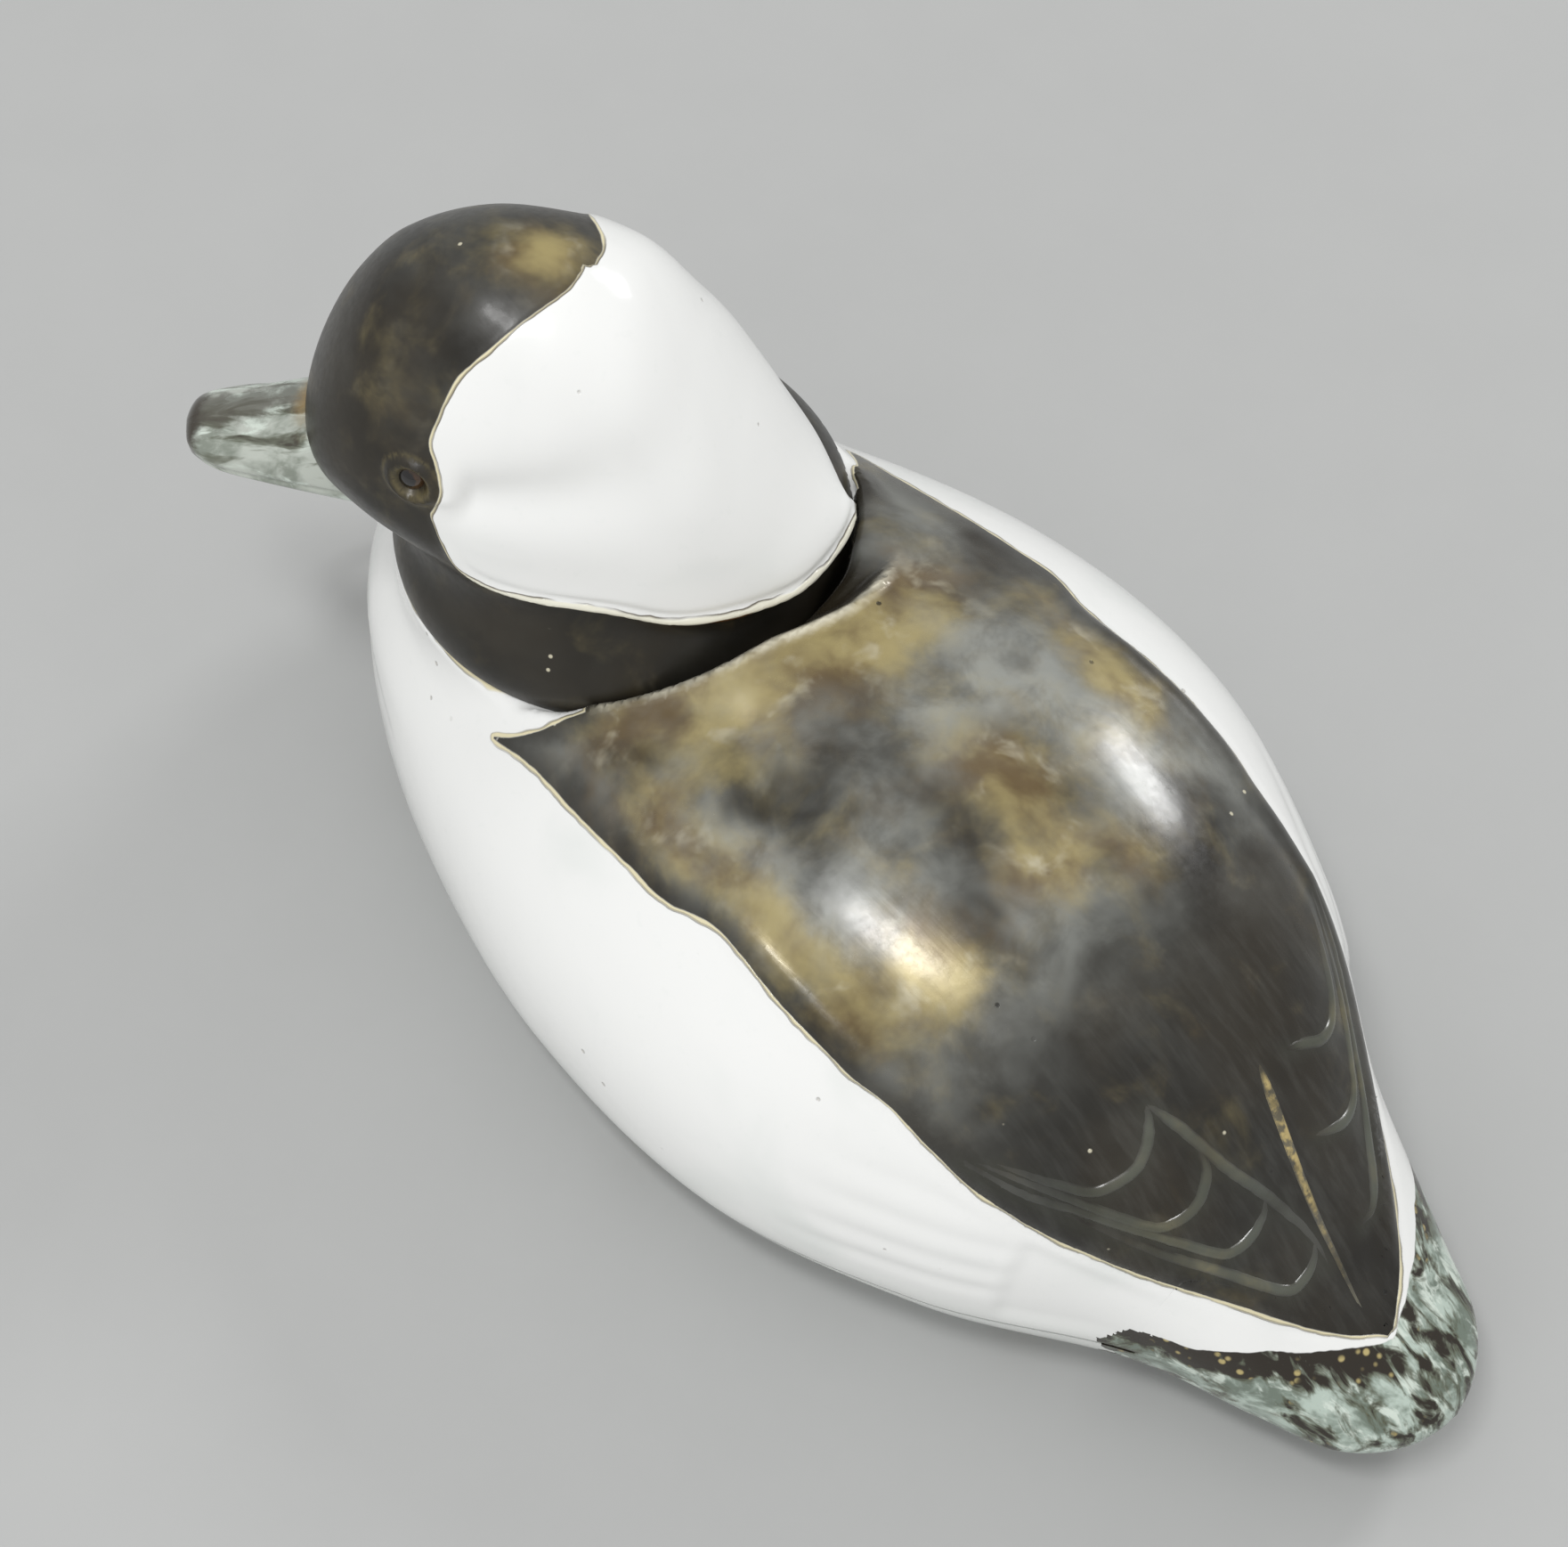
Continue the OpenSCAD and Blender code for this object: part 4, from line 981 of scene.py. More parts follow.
def new_material(name):
    """An empty material with its shader, and Object coordinates."""
    material = bpy.data.materials.new(name)
    material.use_nodes = True
    tree = material.node_tree
    shader = tree.nodes["Principled BSDF"]
    return material, tree, shader, node(tree, "ShaderNodeTexCoord").outputs["Object"]


def bump(tree, shader, height, distance, strength=1.0):
    made = node(tree, "ShaderNodeBump", {"Height": height, "Distance": distance, "Strength": strength})
    tree.links.new(made.outputs[0], shader.inputs["Normal"])


def feed(tree, inputs, **sockets):
    """Links values to the named inputs of a shader or of a group's output."""
    for key, value in sockets.items():
        tree.links.new(value, inputs[key.replace("_", " ")])


def fixed(shader, **values):
    """Sets constants on a shader's own sockets."""
    for key, value in values.items():
        shader.inputs[key.replace("_", " ")].default_value = value


def mixed(tree, share, a, b):
    """Mix of two values."""
    return node(tree, "ShaderNodeMix", {"Factor": share, 2: a, 3: b}).outputs[0]


def lustre(tree, at, gilding, slating, streaking, **other):
    """The dark lustre in the maker's colours, apart from those given."""
    f = finish()
    colours = {"Dark": f.dark, "Umber": f.umber, "Bronze": f.bronze, "Slate": f.slate, **other}
    return use(tree, "bronze_lustre", Place=at, Gilding=gilding, Slating=slating, Streaking=streaking,
               **colours)


def painted_material(name, pools=.35, head=False):
    """White enamel and dark lustre either side of a painted edge, and on the hull the mottled tail."""
    f = finish()
    material, tree, shader, at = new_material(name)
    white = use(tree, "enamel_white", Place=at, White=f.white, Shade=f.white_shade, Pools=pools)
    dark = lustre(tree, at, *(attribute(tree, name) for name in ("gilding", "slating", "streaking")))
    width = attribute(tree, "rim_width")
    masks = use(tree, "painted_edge", Place=at, Inside=attribute(tree, "paint_edge"), Wobble=.8,
                Rim_Width=width)
    colour, rough, height, coat = white["Colour"], white["Roughness"], white["Height"], dark["Colour"]
    if head:
        coat = blend(tree, attribute(tree, "ember"), coat, (.24, .085, .014))
        coat = blend(tree, attribute(tree, "eye_line"), coat, f.bronze)
    else:
        # Painted shade: the white turns grey-green towards the bottom of the hull.
        low = soft(tree, node(tree, "ShaderNodeSeparateXYZ", {0: at}).outputs["Z"], .032, .012, 0, .4)
        colour = blend(tree, low, colour, (.42, .47, .42))
        glaze = use(tree, "mottled_glaze", Place=at, Pale=f.celadon, Deep=f.moss,
                    Streak=f.streak, Gold=f.bronze, Darkness=attribute(tree, "tail_shade"))
        share = use(tree, "painted_edge", Place=at, Inside=attribute(tree, "tail_edge"), Wobble=1.8,
                    Rim_Width=.2)["Inside"]
        colour = blend(tree, share, colour, glaze["Colour"])
        rough = mixed(tree, share, rough, glaze["Roughness"])
        height = mixed(tree, share, height, glaze["Height"])
        coat = blend(tree, times(tree, attribute(tree, "feathering"), .35), coat, (.045, .048, .036))
        # Painted highlight: a light, broken line along the raised rim behind the neck.
        worn = soft(tree, noise(tree, at, 160, 3, .6), .34, .60, .25, .95)
        coat = blend(tree, times(tree, attribute(tree, "thinning"), worn), coat, (.74, .70, .56))
    colour = blend(tree, times(tree, masks["Line"], .9 if head else .6), colour, (.085, .060, .026))
    rim = blend(tree, soft(tree, width, .7, 1.6), f.rim, (.82, .80, .68))
    colour = blend(tree, masks["Rim"], colour, rim)
    colour = blend(tree, masks["Inside"], colour, coat)
    height = mixed(tree, masks["Inside"], height, dark["Height"])
    dull = plus(tree, dark["Roughness"], .14 if head else 0.0)
    feed(tree, shader.inputs, Base_Color=colour, Roughness=mixed(tree, masks["Inside"], rough, dull),
         Metallic=times(tree, masks["Inside"], dark["Metallic"]))
    fixed(shader, Specular_IOR_Level=.42, Coat_Weight=.10 if head else .25, Coat_Roughness=.12)
    bead = minus(tree, times(tree, masks["Rim"], .8), times(tree, masks["Line"], .8))
    bump(tree, shader, plus(tree, height, bead), .00030, .8)
    return material


def hull_paint():
    return bpy.data.materials.get("hull_paint") or painted_material("hull_paint")


def head_paint():
    return bpy.data.materials.get("head_paint") or painted_material("head_paint", pools=.22, head=True)


def bill_paint():
    """Mottled bill with a dark nail, a smudged ridge and a gold spot at its root."""
    f = finish()
    material, tree, shader, _ = new_material("bill_paint")
    own = attribute(tree, "bill_place", "Vector")
    glaze = use(tree, "mottled_glaze", Place=own, Pale=(.46, .49, .44), Deep=(.22, .245, .205),
                Streak=(.055, .050, .036), Gold=f.bronze, Darkness=-.16)
    parts = node(tree, "ShaderNodeSeparateXYZ", {0: own}).outputs
    wander = minus(tree, noise(tree, own, 190, 4, .62), .5)
    across = plus(tree, calc(tree, "ABSOLUTE", parts["Y"]), times(tree, wander, .011))
    ridge = times(tree, soft(tree, across, .0046, .0010), soft(tree, parts["Z"], .002, .006, 0, .8))
    from_tip = plus(tree, parts["X"], times(tree, wander, .005))
    nail, root = soft(tree, from_tip, .0042, .0016), soft(tree, from_tip, .020, .0235)
    gold = times(tree, times(tree, root, soft(tree, across, .007, .002)), soft(tree, parts["Z"], .004, .007))
    colour = blend(tree, ridge, glaze["Colour"], (.085, .080, .062))
    colour = blend(tree, nail, colour, (.035, .028, .018))
    colour = blend(tree, times(tree, gold, .7), colour, (.33, .22, .08))
    feed(tree, shader.inputs, Base_Color=colour, Roughness=glaze["Roughness"])
    fixed(shader, IOR=1.52, Coat_Weight=.45, Coat_Roughness=.08)
    bump(tree, shader, glaze["Height"], .0003, .8)
    return material


def feather_enamel():
    """Lustre on the raised feather edges, lighter on their tops near the start of each line: partly worn
    thin, partly a painted highlight.
    """
    material, tree, shader, at = new_material("feather_edge")
    thin = lustre(tree, at, .1, .4, .3, Dark=(.050, .055, .042), Umber=(.072, .074, .053),
                  Slate=(.13, .14, .12))
    dark = lustre(tree, at, 0.0, .2, .6)
    along = attribute(tree, "along")
    worn = plus(tree, along, times(tree, minus(tree, noise(tree, at, 240, 3), .5), .35))
    # Painted highlight, partly wear: the lighter crest colour on the bead tops, strongest near the start of
    # each line.
    crest = times(tree, soft(tree, worn, .85, .30, .25, .95), soft(tree, attribute(tree, "proud"), 0, .00030))
    colour = blend(tree, crest, dark["Colour"], thin["Colour"])
    feed(tree, shader.inputs, Base_Color=colour, Roughness=dark["Roughness"], Metallic=dark["Metallic"])
    fixed(shader, Specular_IOR_Level=.42, Coat_Weight=.25, Coat_Roughness=.12)
    bump(tree, shader, dark["Height"], .0002, .6)
    return material


def gold_line():
    """Rubbed gold along the line between the wings, worn away towards the tail."""
    material, tree, shader, at = new_material("gold_line")
    along = node(tree, "ShaderNodeSeparateXYZ", {0: at}).outputs["X"]
    rub = noise(tree, at, 330, 4, .65)
    worn = soft(tree, plus(tree, along, times(tree, minus(tree, rub, .5), .07)), -.106, -.080, .15, .95)
    flecks = soft(tree, noise(tree, place(tree, at, (.3, .1, .2)), 420, 3, .6), .40, .56, .15, 1)
    worn = times(tree, times(tree, worn, flecks), soft(tree, attribute(tree, "proud"), 0, .00022))
    dark = lustre(tree, at, .2, .3, .4)
    metal = use(tree, "worn_metal", Place=at, Metal=(.46, .36, .15), Tarnish=(.085, .068, .034), Wear=.9,
                Smooth=.3)
    colour = blend(tree, worn, dark["Colour"], metal["Colour"])
    feed(tree, shader.inputs, Base_Color=colour, Roughness=metal["Roughness"], Metallic=dark["Metallic"])
    bump(tree, shader, metal["Height"], .0002, .6)
    return material


def metal_material(name, metal, tarnish, wear, smooth):
    made, tree, shader, at = new_material(name)
    worn = use(tree, "worn_metal", Place=at, Metal=metal, Tarnish=tarnish, Wear=wear, Smooth=smooth)
    feed(tree, shader.inputs, Base_Color=worn["Colour"], Roughness=worn["Roughness"])
    fixed(shader, Metallic=1.0)
    bump(tree, shader, worn["Height"], .00012, .6)
    return made


def timber_material():
    made, tree, shader, at = new_material("dowel_timber")
    grain = noise(tree, place(tree, at, scale=(1, 1, .08)), 900, 4, .6, .6)
    pores = noise(tree, place(tree, at, scale=(1, 1, .05)), 2400, 2, .5)
    colour = blend(tree, soft(tree, grain, .35, .7), finish().timber, (.30, .17, .075))
    colour = blend(tree, soft(tree, pores, .6, .75, 0, .5), colour, (.16, .09, .04))
    feed(tree, shader.inputs, Base_Color=colour, Roughness=soft(tree, grain, .3, .7, .5, .68))
    bump(tree, shader, pores, .0001, .6)
    return made


def leather_material():
    made, tree, shader, at = new_material("oiled_leather")
    cells = node(tree, "ShaderNodeTexVoronoi", {"Vector": at, "Scale": 900.0}).outputs["Distance"]
    tone = noise(tree, at, 120, 4, .6)
    colour = blend(tree, soft(tree, tone, .35, .7), finish().leather, (.06, .028, .012))
    feed(tree, shader.inputs, Base_Color=colour, Roughness=soft(tree, cells, .1, .6, .5, .72))
    bump(tree, shader, cells, .00015, .8)
    return made


def rubber_material():
    made, tree, shader, at = new_material("black_rubber")
    grit = noise(tree, at, 1400, 3, .6)
    bloom = noise(tree, at, 70, 4, .6)
    colour = blend(tree, soft(tree, bloom, .45, .75, 0, .6), finish().rubber, (.07, .068, .064))
    feed(tree, shader.inputs, Base_Color=colour, Roughness=soft(tree, grit, .3, .7, .55, .75))
    bump(tree, shader, grit, .0001, .6)
    return made


def eye_material():
    """Dark brown glass with a black pupil."""
    made, tree, shader, at = new_material("dark_glass")
    out = attribute(tree, "pupil")
    fleck = noise(tree, at, 1600, 3, .6)
    ring = soft(tree, plus(tree, out, times(tree, minus(tree, fleck, .5), .25)), .5, .62)
    colour = blend(tree, ring, (.004, .003, .003), (.050, .024, .009))
    feed(tree, shader.inputs, Base_Color=colour, Roughness=soft(tree, fleck, .2, .8, .03, .07))
    fixed(shader, Coat_Weight=1.0, Coat_Roughness=.02)
    return made


# Operators

class DECOY_OT_back_shell(bpy.types.Operator):
    """Upper half of the hull with the folded wings, the flanks and the foot of the neck"""

    bl_idname = "decoy.back_shell"
    bl_label = "Back Shell"

    def execute(self, context):
        hull, pitch = Hull(), sizes().hull_detail / MM
        hull_piece("painted_back", "hull_enamel", "back_shell", hull, hull.back, pitch,
                   low=(-120, -72, hull.high - 2.5 * pitch), high=(140, 72, 88), levels=[hull.high])
        return {"FINISHED"}


class DECOY_OT_bottom_shell(bpy.types.Operator):
    """Lower half of the hull with the flat base"""

    bl_idname = "decoy.bottom_shell"
    bl_label = "Bottom Shell"

    def execute(self, context):
        hull, pitch = Hull(), sizes().hull_detail / MM * 1.1
        hull_piece("painted_bottom", "hull_enamel", "bottom_shell", hull, hull.bottom, pitch,
                   low=(-122, -72, -2.6 * pitch), high=(140, 72, hull.low + 3), levels=[hull.low, 0],
                   carved=False)
        return {"FINISHED"}


class DECOY_OT_tail_piece(bpy.types.Operator):
    """Mottled tail let into the stern"""

    bl_idname = "decoy.tail_piece"
    bl_label = "Tail Piece"

    def execute(self, context):
        hull, pitch = Hull(), sizes().hull_detail / MM * .8
        hull_piece("painted_tail", "tail_enamel", "tail_piece", hull, hull.tail, pitch,
                   low=(-133, -46, -2), high=(-74, 46, 52))
        return {"FINISHED"}


class DECOY_OT_head(bpy.types.Operator):
    """Head and neck with the raised white patch and the eye rims"""

    bl_idname = "decoy.head"
    bl_label = "Head"

    def execute(self, context):
        s = sizes()
        loft = head_loft()
        base = s.seat_height / MM + SEAT_GAP

        def form(q):
            hx, hy, hz = to_head(q)
            nx, ny, nz = to_head(q, lean=False)
            rise = np.maximum(nz - base, 0)
            out = np.hypot(nx - NECK_SLANT[0] * rise, ny - NECK_SLANT[1] * rise)
            neck = np.maximum((out - curve(NECK_LINE, nz)) * .92, nz - NECK_TOP)
            return np.maximum(join(loft.distance(hx, hy, hz), neck, 3 + 7 * step(-6, 24, hx)), base - q[:, 2])

        def foot(q):
            nx, ny, _ = to_head(q, lean=False)
            return np.hypot(nx, ny) - s.neck_radius / MM
        pitch = s.head_detail / MM
        p, quads = skin(form, (38, -52, base - 2.5 * pitch), (146, 62, 147), pitch,
                        [(foot, lambda q: q[:, 2] - base)])
        hx, hy, hz = to_head(p)
        patch = np.empty(len(p))
        for way, table in ((1, PATCH_LEFT), (-1, PATCH_RIGHT)):
            line = finer(table)
            centre, half, top, mid, low, up, down = loft.at(line[:, 0])
            rise = line[:, 1] - mid
            share = np.clip(np.abs(rise) / np.where(rise >= 0, top - mid, mid - low), 0, 1)
            power = np.where(rise >= 0, up, down)
            out = centre + way * half * (1 - share ** power) ** (1 / power)
            edge = settle(form, from_head(np.column_stack([line[:, 0], out, line[:, 1]])), 4, 8)
            edge = np.column_stack(to_head(edge))
            seen = hy * way >= 0
            away = from_line(np.column_stack([hx, hy, hz])[seen], edge)
            ring = edge[:, ::2].tolist() + [(-70, 80), (-70, 170), (4, 170)]
            patch[seen] = np.where(within(hx[seen], hz[seen], ring), away, -away)
        n = face_normals(p, quads)
        lower = step(104, 88, hz)
        lift = s.patch_lip / MM * step(-1.0, .8, patch) * (.25 + .75 * lower * hump(np.maximum(patch, 0), 8))
        lift += lower * (.40 * hump(patch - 1.2, .9) - .45 * hump(patch - 2.9, .8)
                         - .5 * hump(patch + 2.0, 1.5))
        hollow = hump(hz - 112 + .12 * (hx - 26), 4.6 + .12 * (26 - hx)) * step(30, 21, hx) * step(-24, 8, hx)
        lift -= 2.3 * hollow * step(.5, 6, patch)
        away_x, away_z = hx - RIM_PLACE[0], hz - RIM_PLACE[1]
        c, d = RIM_SLANT
        ring_at = np.hypot((away_x * c + away_z * d) / RIM_HALF[0], (away_z * c - away_x * d) / RIM_HALF[1])
        side = np.abs(hy) > 14
        rim = s.eye_rim / MM * (1.25 * hump(ring_at - 1, .30) - .9 * step(.75, .45, ring_at))
        tear = .5 * hump(np.hypot(hx - TEAR_PLACE[0], (hz - TEAR_PLACE[1]) * 1.2), 1.7)
        lift += np.where(side & (ring_at < 2.2), rim + tear, 0)
        p = p + n * (lift * step(base + .5, base + 4, p[:, 2]))[:, None]
        piece = new_piece("painted_head", p, quads, "head", "head_enamel", "head")
        white = np.where(ring_at < 1.32, np.minimum(patch, (ring_at - 1.32) * 4), patch)
        # Painted highlight: a soft gold spot on the crown, added to the gold of the lustre. The crown's top
        # also gets more gold and slate.
        painted_crown_highlight = np.exp(-((hx - 11) / 8) ** 2 - ((hy + 2.5) / 7) ** 2) * step(118, 132, hz)
        note(piece, paint_edge=-white, rim_width=.30 + 1.75 * step(100, 89, hz),
             gilding=np.minimum(.02 + .12 * step(118, 138, hz) + .8 * painted_crown_highlight, 1),
             slating=.03 + .12 * step(116, 138, hz), streaking=np.zeros(len(p)),
             ember=.9 * hump((hx + 27) / 9, 1) * hump(patch + 2.6, 1.6) * lower * (hy > 0),
             eye_line=np.where(side, .20 * hump(ring_at - .80, .10) + .12 * hump(ring_at - 1.42, .07), 0))
        piece.data.materials.append(head_paint())
        return {"FINISHED"}


class DECOY_OT_bill(bpy.types.Operator):
    """Bill with its nail, nostrils and mouth line"""

    bl_idname = "decoy.bill"
    bl_label = "Bill"

    def execute(self, context):
        s = sizes()
        loft = bill_loft()
        pitch = s.head_detail / MM * .65

        def form(q):
            return loft.distance(q[:, 0], q[:, 1], q[:, 2])
        p, quads = skin(form, (42, -18, 79), (82, 18, 108), pitch)
        centre, half, top, mid, *_ = loft.at(p[:, 0])
        side = (p[:, 1] - centre) / np.maximum(half, .3)
        up = (p[:, 2] - mid) / np.maximum(top - mid, .3)
        from_tip = s.bill_reach / MM - p[:, 0]
        n = face_normals(p, quads)
        mouth = -.55 * hump(p[:, 2] - mid + .6, .55) * step(1.5, 4, from_tip)
        nostril = -.8 * hump(np.hypot((from_tip - 17) / 3.2, (up - .62) / .16), 1) * (up > 0)
        nail = .45 * hump(np.hypot(from_tip / 3.0, side / 1.2), 1) * step(0, .3, up)
        ridge = .35 * hump(side, .3) * step(.2, .8, up) * step(4, 12, from_tip)
        p_out = p + n * (mouth + nostril + nail + ridge)[:, None]
        piece = new_piece("painted_bill", from_head(p_out), quads, "head", "bill_enamel", "bill")
        note(piece, bill_place=np.column_stack([from_tip, p[:, 1] - centre, 8 * up]) * MM)
        piece.data.materials.append(bill_paint())
        return {"FINISHED"}


class DECOY_OT_eyes(bpy.types.Operator):
    """Dark glass eyes in their rims"""

    bl_idname = "decoy.eyes"
    bl_label = "Eyes"

    def execute(self, context):
        glass = eye_material()
        for name, side in (("left_eye", 1), ("right_eye", -1)):
            a, b = math.radians(EYE_TILT), math.radians(EYE_TURN * side)
            axis = np.array([math.sin(a) * math.cos(b), math.sin(a) * math.sin(b), math.cos(a)])
            middle = np.array(EYE_PLACE) * (1, side, 1) - EYE_SINK * axis
            rings, spokes = 18, 40
            other = np.cross(axis, (0, 0, 1.0))
            other /= np.linalg.norm(other)
            third = np.cross(axis, other)
            points, faces, pupil = [middle + EYE_RISE * axis], [], [0.0]
            for i in range(1, rings + 1):
                f = i / rings * math.radians(EYE_REACH)
                for j in range(spokes):
                    g = 2 * math.pi * j / spokes
                    points.append(middle + EYE_RISE * math.cos(f) * axis + EYE_RADIUS * math.sin(f)
                                  * (math.cos(g) * other + math.sin(g) * third))
                    pupil.append(math.sin(min(f, math.pi / 2)))
            last = len(points)
            points.append(middle - EYE_RISE * .4 * axis)
            pupil.append(1.0)
            for j in range(spokes):
                k = (j + 1) % spokes
                faces.append((0, 1 + j, 1 + k))
                for i in range(rings - 1):
                    a0, b0 = 1 + i * spokes + j, 1 + i * spokes + k
                    faces.append((a0, a0 + spokes, b0 + spokes, b0))
                faces.append((last, last - spokes + k, last - spokes + j))
            mesh = bpy.data.meshes.new("glass_" + name)
            mesh.from_pydata((from_head(np.array(points)) * MM).tolist(), [], faces)
            piece = smooth_piece(mesh, "head", "eye_glass", name)
            note(piece, pupil=pupil)
            mesh.materials.append(glass)
        return {"FINISHED"}


def kept_value(tree, geometry, name, value):
    """Keeps a named value at each point of a geometry."""
    return node(tree, "GeometryNodeStoreNamedAttribute", {"Geometry": geometry, "Name": name, "Value": value},
                data_type="FLOAT", domain="POINT").outputs[0]


def ridge_tree(name):
    """Geometry nodes that lay guide lines on a target and sweep a tapered bead along them."""
    tree = bpy.data.node_groups.new(name, "GeometryNodeTree")
    for label, kind, value in (
            ("Guides", "NodeSocketGeometry", None), ("Target", "NodeSocketObject", None),
            ("Bead Radius", VALUE, .001), ("Sink", VALUE, .0007), ("Spacing", VALUE, .0008),
            ("Start Taper", VALUE, 8.0), ("End Taper", VALUE, 2.5), ("Thin End", VALUE, .8),
            ("Sides", "NodeSocketInt", 20), ("Finish", "NodeSocketMaterial", None)):
        socket = tree.interface.new_socket(label, in_out="INPUT", socket_type=kind)
        if value is not None:
            socket.default_value = value
    tree.interface.new_socket("Ridges", in_out="OUTPUT", socket_type="NodeSocketGeometry")
    given = node(tree, "NodeGroupInput").outputs
    line = node(tree, "GeometryNodeMeshToCurve", {"Mesh": given["Guides"]}).outputs[0]
    line = node(tree, "GeometryNodeCurveSplineType", {"Curve": line}, spline_type="CATMULL_ROM").outputs[0]
    line = node(tree, "GeometryNodeResampleCurve", {"Curve": line, "Length": given["Spacing"]},
                mode="LENGTH").outputs[0]
    target = node(tree, "GeometryNodeObjectInfo", {"Object": given["Target"]}, transform_space="RELATIVE")
    position = node(tree, "GeometryNodeInputPosition").outputs[0]
    lifted = node(tree, "ShaderNodeVectorMath", {0: position, 1: (0, 0, .2)}, operation="ADD").outputs[0]
    ray = node(tree, "GeometryNodeRaycast", {
        "Target Geometry": target.outputs["Geometry"], "Source Position": lifted,
        "Ray Direction": (0, 0, -1), "Ray Length": 1.0})
    down = node(tree, "ShaderNodeVectorMath", {0: ray.outputs["Hit Normal"]}, operation="SCALE")
    tree.links.new(times(tree, given["Sink"], -1.0), down.inputs["Scale"])
    seat = node(tree, "ShaderNodeVectorMath", {0: ray.outputs["Hit Position"], 1: down.outputs[0]},
                operation="ADD").outputs[0]
    line = node(tree, "GeometryNodeSetPosition", {"Geometry": line, "Selection": ray.outputs["Is Hit"],
                                                  "Position": seat}).outputs[0]
    share = node(tree, "GeometryNodeSplineParameter").outputs["Factor"]
    line = kept_value(tree, line, "along", share)
    start = times(tree, share, given["Start Taper"], clamp=True)
    end = times(tree, minus(tree, 1.0, share), given["End Taper"], clamp=True)
    taper = mixed(tree, times(tree, start, end), given["Thin End"], 1.0)
    ring = node(tree, "GeometryNodeCurvePrimitiveCircle",
                {"Resolution": given["Sides"], "Radius": given["Bead Radius"]}).outputs[0]
    swept = node(tree, "GeometryNodeCurveToMesh",
                 {"Curve": line, "Profile Curve": ring, "Scale": taper, "Fill Caps": True}).outputs[0]
    proud = node(tree, "GeometryNodeProximity", {"Geometry": target.outputs["Geometry"]}).outputs["Distance"]
    swept = kept_value(tree, swept, "proud", proud)
    swept = node(tree, "GeometryNodeSetShadeSmooth", {"Geometry": swept}).outputs[0]
    swept = node(tree, "GeometryNodeRealizeInstances", {"Geometry": swept}).outputs[0]
    swept = node(tree, "GeometryNodeSetMaterial", {"Geometry": swept, "Material": given["Finish"]}).outputs[0]
    tree.links.new(swept, node(tree, "NodeGroupOutput").inputs[0])
    return tree


def laid_ridges(name, lines, material, radius, sink, start=8.0, end=2.5):
    """Raised ridges along lines seen from above, laid on the painted back."""
    s = sizes()
    points, edges = [], []
    for line in lines:
        first = len(points)
        points += [Vector((x * MM, y * MM, s.hull_height)) for x, y in line]
        edges += [(first + i, first + i + 1) for i in range(len(line) - 1)]
    guide = bpy.data.meshes.new(name + "_guides")
    guide.from_pydata(points, edges, [])
    piece = bpy.data.objects.new(name, guide)
    bpy.context.scene.collection.objects.link(piece)
    modifier = piece.modifiers.new("ridges", "NODES")
    modifier.node_group = bpy.data.node_groups.get("feather_ridges") or ridge_tree("feather_ridges")
    sockets = {i.name: i.identifier for i in modifier.node_group.interface.items_tree if i.in_out == "INPUT"}
    for label, value in (
            ("Target", bpy.data.objects["painted_back"]), ("Bead Radius", radius), ("Sink", sink),
            ("Start Taper", start), ("End Taper", end), ("Thin End", sink / radius), ("Finish", material)):
        modifier[sockets[label]] = value
    bpy.context.view_layer.update()
    made = bpy.data.meshes.new_from_object(piece.evaluated_get(bpy.context.evaluated_depsgraph_get()))
    piece.modifiers.clear()
    piece.data = made
    made.name = name
    if not made.polygons:
        raise RuntimeError(name + " came out empty")
    return settle_piece(piece, "hull", "hull_enamel")


class DECOY_OT_feather_ridges(bpy.types.Operator):
    """Feather ends, feather edges and the line between the wings, raised on the back"""

    bl_idname = "decoy.feather_ridges"
    bl_label = "Feather Ridges"

    def execute(self, context):
        s = sizes()
        worn = feather_enamel()
        laid_ridges("feather_ridges_left", FEATHERS_LEFT, worn, s.feather_bead, s.feather_sink)
        laid_ridges("feather_ridges_right", FEATHERS_RIGHT, worn, s.feather_bead, s.feather_sink)
        laid_ridges("wing_line", [CENTRE_LINE], gold_line(), s.feather_bead, s.feather_sink * .98, 9, 1.3)
        return {"FINISHED"}


class DECOY_OT_fittings(bpy.types.Operator):
    """Metal, timber, leather and rubber on the pieces that keep their made shape"""

    bl_idname = "decoy.fittings"
    bl_label = "Fittings"

    def execute(self, context):
        f = finish()
        brass = metal_material("worn_brass", f.brass, (.10, .07, .03), .75, .24)
        steel = metal_material("plated_steel", f.steel, (.16, .13, .11), .45, .26)
        iron = metal_material("cast_iron", f.iron, (.09, .045, .022), .8, .48)
        timber, leather, rubber = timber_material(), leather_material(), rubber_material()
        finishes = {
            brass: ("line_tie_eye", "line_tie_ring", "hull_screws", "ballast_screws", "neck_bush",
                    "neck_spindle"),
            steel: ("deck_washer", "disc_springs", "lock_nut"), iron: ("ballast_bar",),
            timber: ("locating_dowels", "tail_dowels", "bill_dowel"), leather: ("friction_disc",),
            rubber: ("seam_gasket",)}
        for material, names in finishes.items():
            for name in names:
                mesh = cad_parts[name].data
                mesh.materials.clear()
                mesh.materials.append(material)
        return {"FINISHED"}


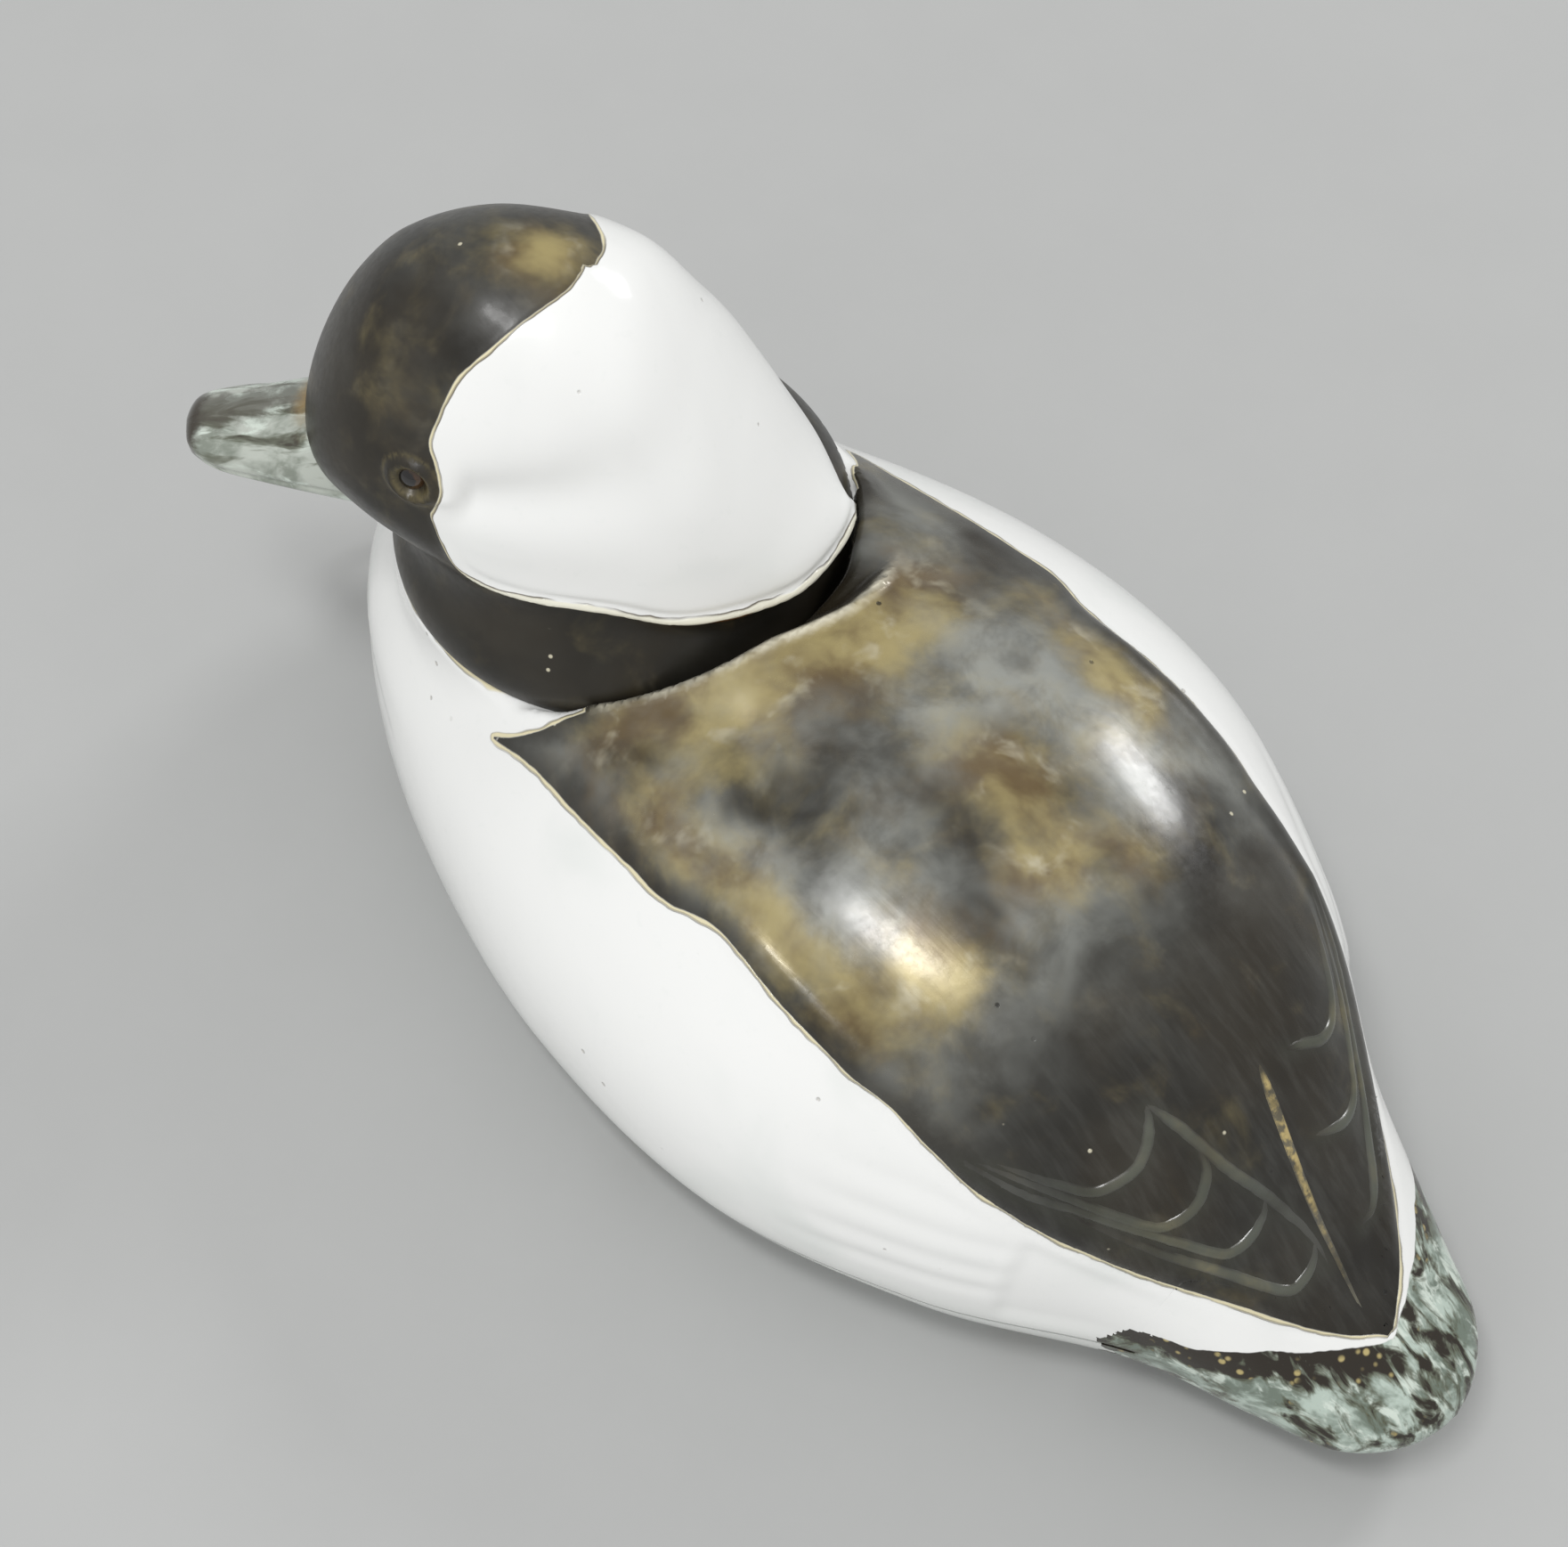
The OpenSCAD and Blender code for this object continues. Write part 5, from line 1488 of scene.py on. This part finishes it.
class DECOY_OT_stage(bpy.types.Operator):
    """Pale floor, soft studio light and the camera"""

    bl_idname = "decoy.stage"
    bl_label = "Stage"

    def execute(self, context):
        scene, st, f = context.scene, stage(), finish()
        mesh = bpy.data.meshes.new("floor")
        r = 4.0
        mesh.from_pydata([(-r, -r, 0), (r, -r, 0), (r, r, 0), (-r, r, 0)], [], [(0, 1, 2, 3)])
        floor = bpy.data.objects.new("floor", mesh)
        floor.location.z = -.0002
        scene.collection.objects.link(floor)
        material, tree, shader, at = new_material("floor_paper")
        tone = noise(tree, at, 40, 4, .6)
        worn = tuple(.985 * part for part in f.floor)
        feed(tree, shader.inputs, Base_Color=blend(tree, soft(tree, tone, .3, .7), f.floor, worn))
        fixed(shader, Roughness=.75)
        mesh.materials.append(material)

        world = bpy.data.worlds.new("studio")
        scene.world = world
        world.use_nodes = True
        tree = world.node_tree
        tree.nodes.clear()
        path = node(tree, "ShaderNodeLightPath").outputs
        seen = calc(tree, "MAXIMUM", path["Is Camera Ray"], calc(tree, "MAXIMUM", path["Is Glossy Ray"],
                                                                path["Is Transmission Ray"]))
        light = node(tree, "ShaderNodeBackground", {"Color": (1, 1, 1, 1), "Strength": st.fill})
        plain = node(tree, "ShaderNodeBackground", {"Color": (1, 1, 1, 1), "Strength": st.backdrop})
        both = node(tree, "ShaderNodeMixShader", {0: seen, 1: light.outputs[0], 2: plain.outputs[0]})
        tree.links.new(both.outputs[0], node(tree, "ShaderNodeOutputWorld").inputs["Surface"])

        middle = Vector((0, 0, .06))
        for name, turn, rise, far, wide, deep, power, shine in (
                ("overhead_softbox", 88, 74, 1.3, .44, .15, st.overhead, True),
                ("window_softbox", -92, 35, 1.4, .32, .24, st.window, True),
                ("flank_softbox", 100, 15, 1.5, 1.4, .5, st.flank, False)):
            lamp = bpy.data.lights.new(name, "AREA")
            lamp.shape, lamp.size, lamp.size_y, lamp.energy = "RECTANGLE", wide, deep, power
            made = bpy.data.objects.new(name, lamp)
            made.visible_glossy = shine
            a, e = math.radians(turn), math.radians(rise)
            way = Vector((math.cos(a) * math.cos(e), math.sin(a) * math.cos(e), math.sin(e)))
            facing = way.to_track_quat("Z", "Y").to_matrix().to_4x4()
            made.matrix_world = Matrix.Translation(middle + far * way) @ facing
            scene.collection.objects.link(made)

        camera = bpy.data.cameras.new("camera")
        camera.sensor_width, camera.lens = CAMERA_SENSOR, CAMERA_LENS
        camera.clip_start = .01
        a, e, roll = (math.radians(d) for d in (CAMERA_TURN, CAMERA_RISE, CAMERA_ROLL))
        back = Vector((math.sin(a) * math.cos(e), -math.cos(a) * math.cos(e), math.sin(e)))
        right = Vector((math.cos(a), math.sin(a), 0))
        up = back.cross(right)
        right, up = right * math.cos(roll) + up * math.sin(roll), up * math.cos(roll) - right * math.sin(roll)
        eye = Vector(CAMERA_AIM) + CAMERA_FAR * back
        made = bpy.data.objects.new("camera", camera)
        made.matrix_world = Matrix.Translation(eye) @ Matrix((right, up, back)).transposed().to_4x4()
        scene.collection.objects.link(made)
        scene.camera = made
        scene.view_settings.view_transform = "Standard"
        return {"FINISHED"}


class DECOY_PT_panel(bpy.types.Panel):
    """Lists the steps that build the decoy, and its sizes and colours"""

    bl_idname = "DECOY_PT_panel"
    bl_label = "Floating Duck Decoy"
    bl_space_type = "VIEW_3D"
    bl_region_type = "UI"
    bl_category = "Decoy"

    def draw(self, context):
        column = self.layout.column(align=True)
        for operator in OPERATORS:
            column.operator(operator.bl_idname)
        for values in (context.scene.decoy_sizes, context.scene.decoy_finish, context.scene.decoy_stage):
            box = self.layout.box()
            for name in values.bl_rna.properties.keys():
                if name not in ("rna_type", "name"):
                    box.prop(values, name)


OPERATORS = (DECOY_OT_stage, DECOY_OT_back_shell, DECOY_OT_bottom_shell, DECOY_OT_tail_piece, DECOY_OT_head,
             DECOY_OT_bill, DECOY_OT_eyes, DECOY_OT_feather_ridges, DECOY_OT_fittings)
CLASSES = (DecoySizes, DecoyFinish, DecoyStage) + OPERATORS + (DECOY_PT_panel,)


def register():
    for cls in CLASSES:
        bpy.utils.register_class(cls)
    bpy.types.Scene.decoy_sizes = bpy.props.PointerProperty(type=DecoySizes)
    bpy.types.Scene.decoy_finish = bpy.props.PointerProperty(type=DecoyFinish)
    bpy.types.Scene.decoy_stage = bpy.props.PointerProperty(type=DecoyStage)


def unregister():
    del bpy.types.Scene.decoy_stage
    del bpy.types.Scene.decoy_finish
    del bpy.types.Scene.decoy_sizes
    for cls in reversed(CLASSES):
        bpy.utils.unregister_class(cls)


def main():
    register()
    bpy.ops.decoy.stage()
    bpy.ops.decoy.back_shell()
    bpy.ops.decoy.bottom_shell()
    bpy.ops.decoy.tail_piece()
    bpy.ops.decoy.head()
    bpy.ops.decoy.bill()
    bpy.ops.decoy.eyes()
    bpy.ops.decoy.feather_ridges()
    bpy.ops.decoy.fittings()


if __name__ == "__main__":
    main()
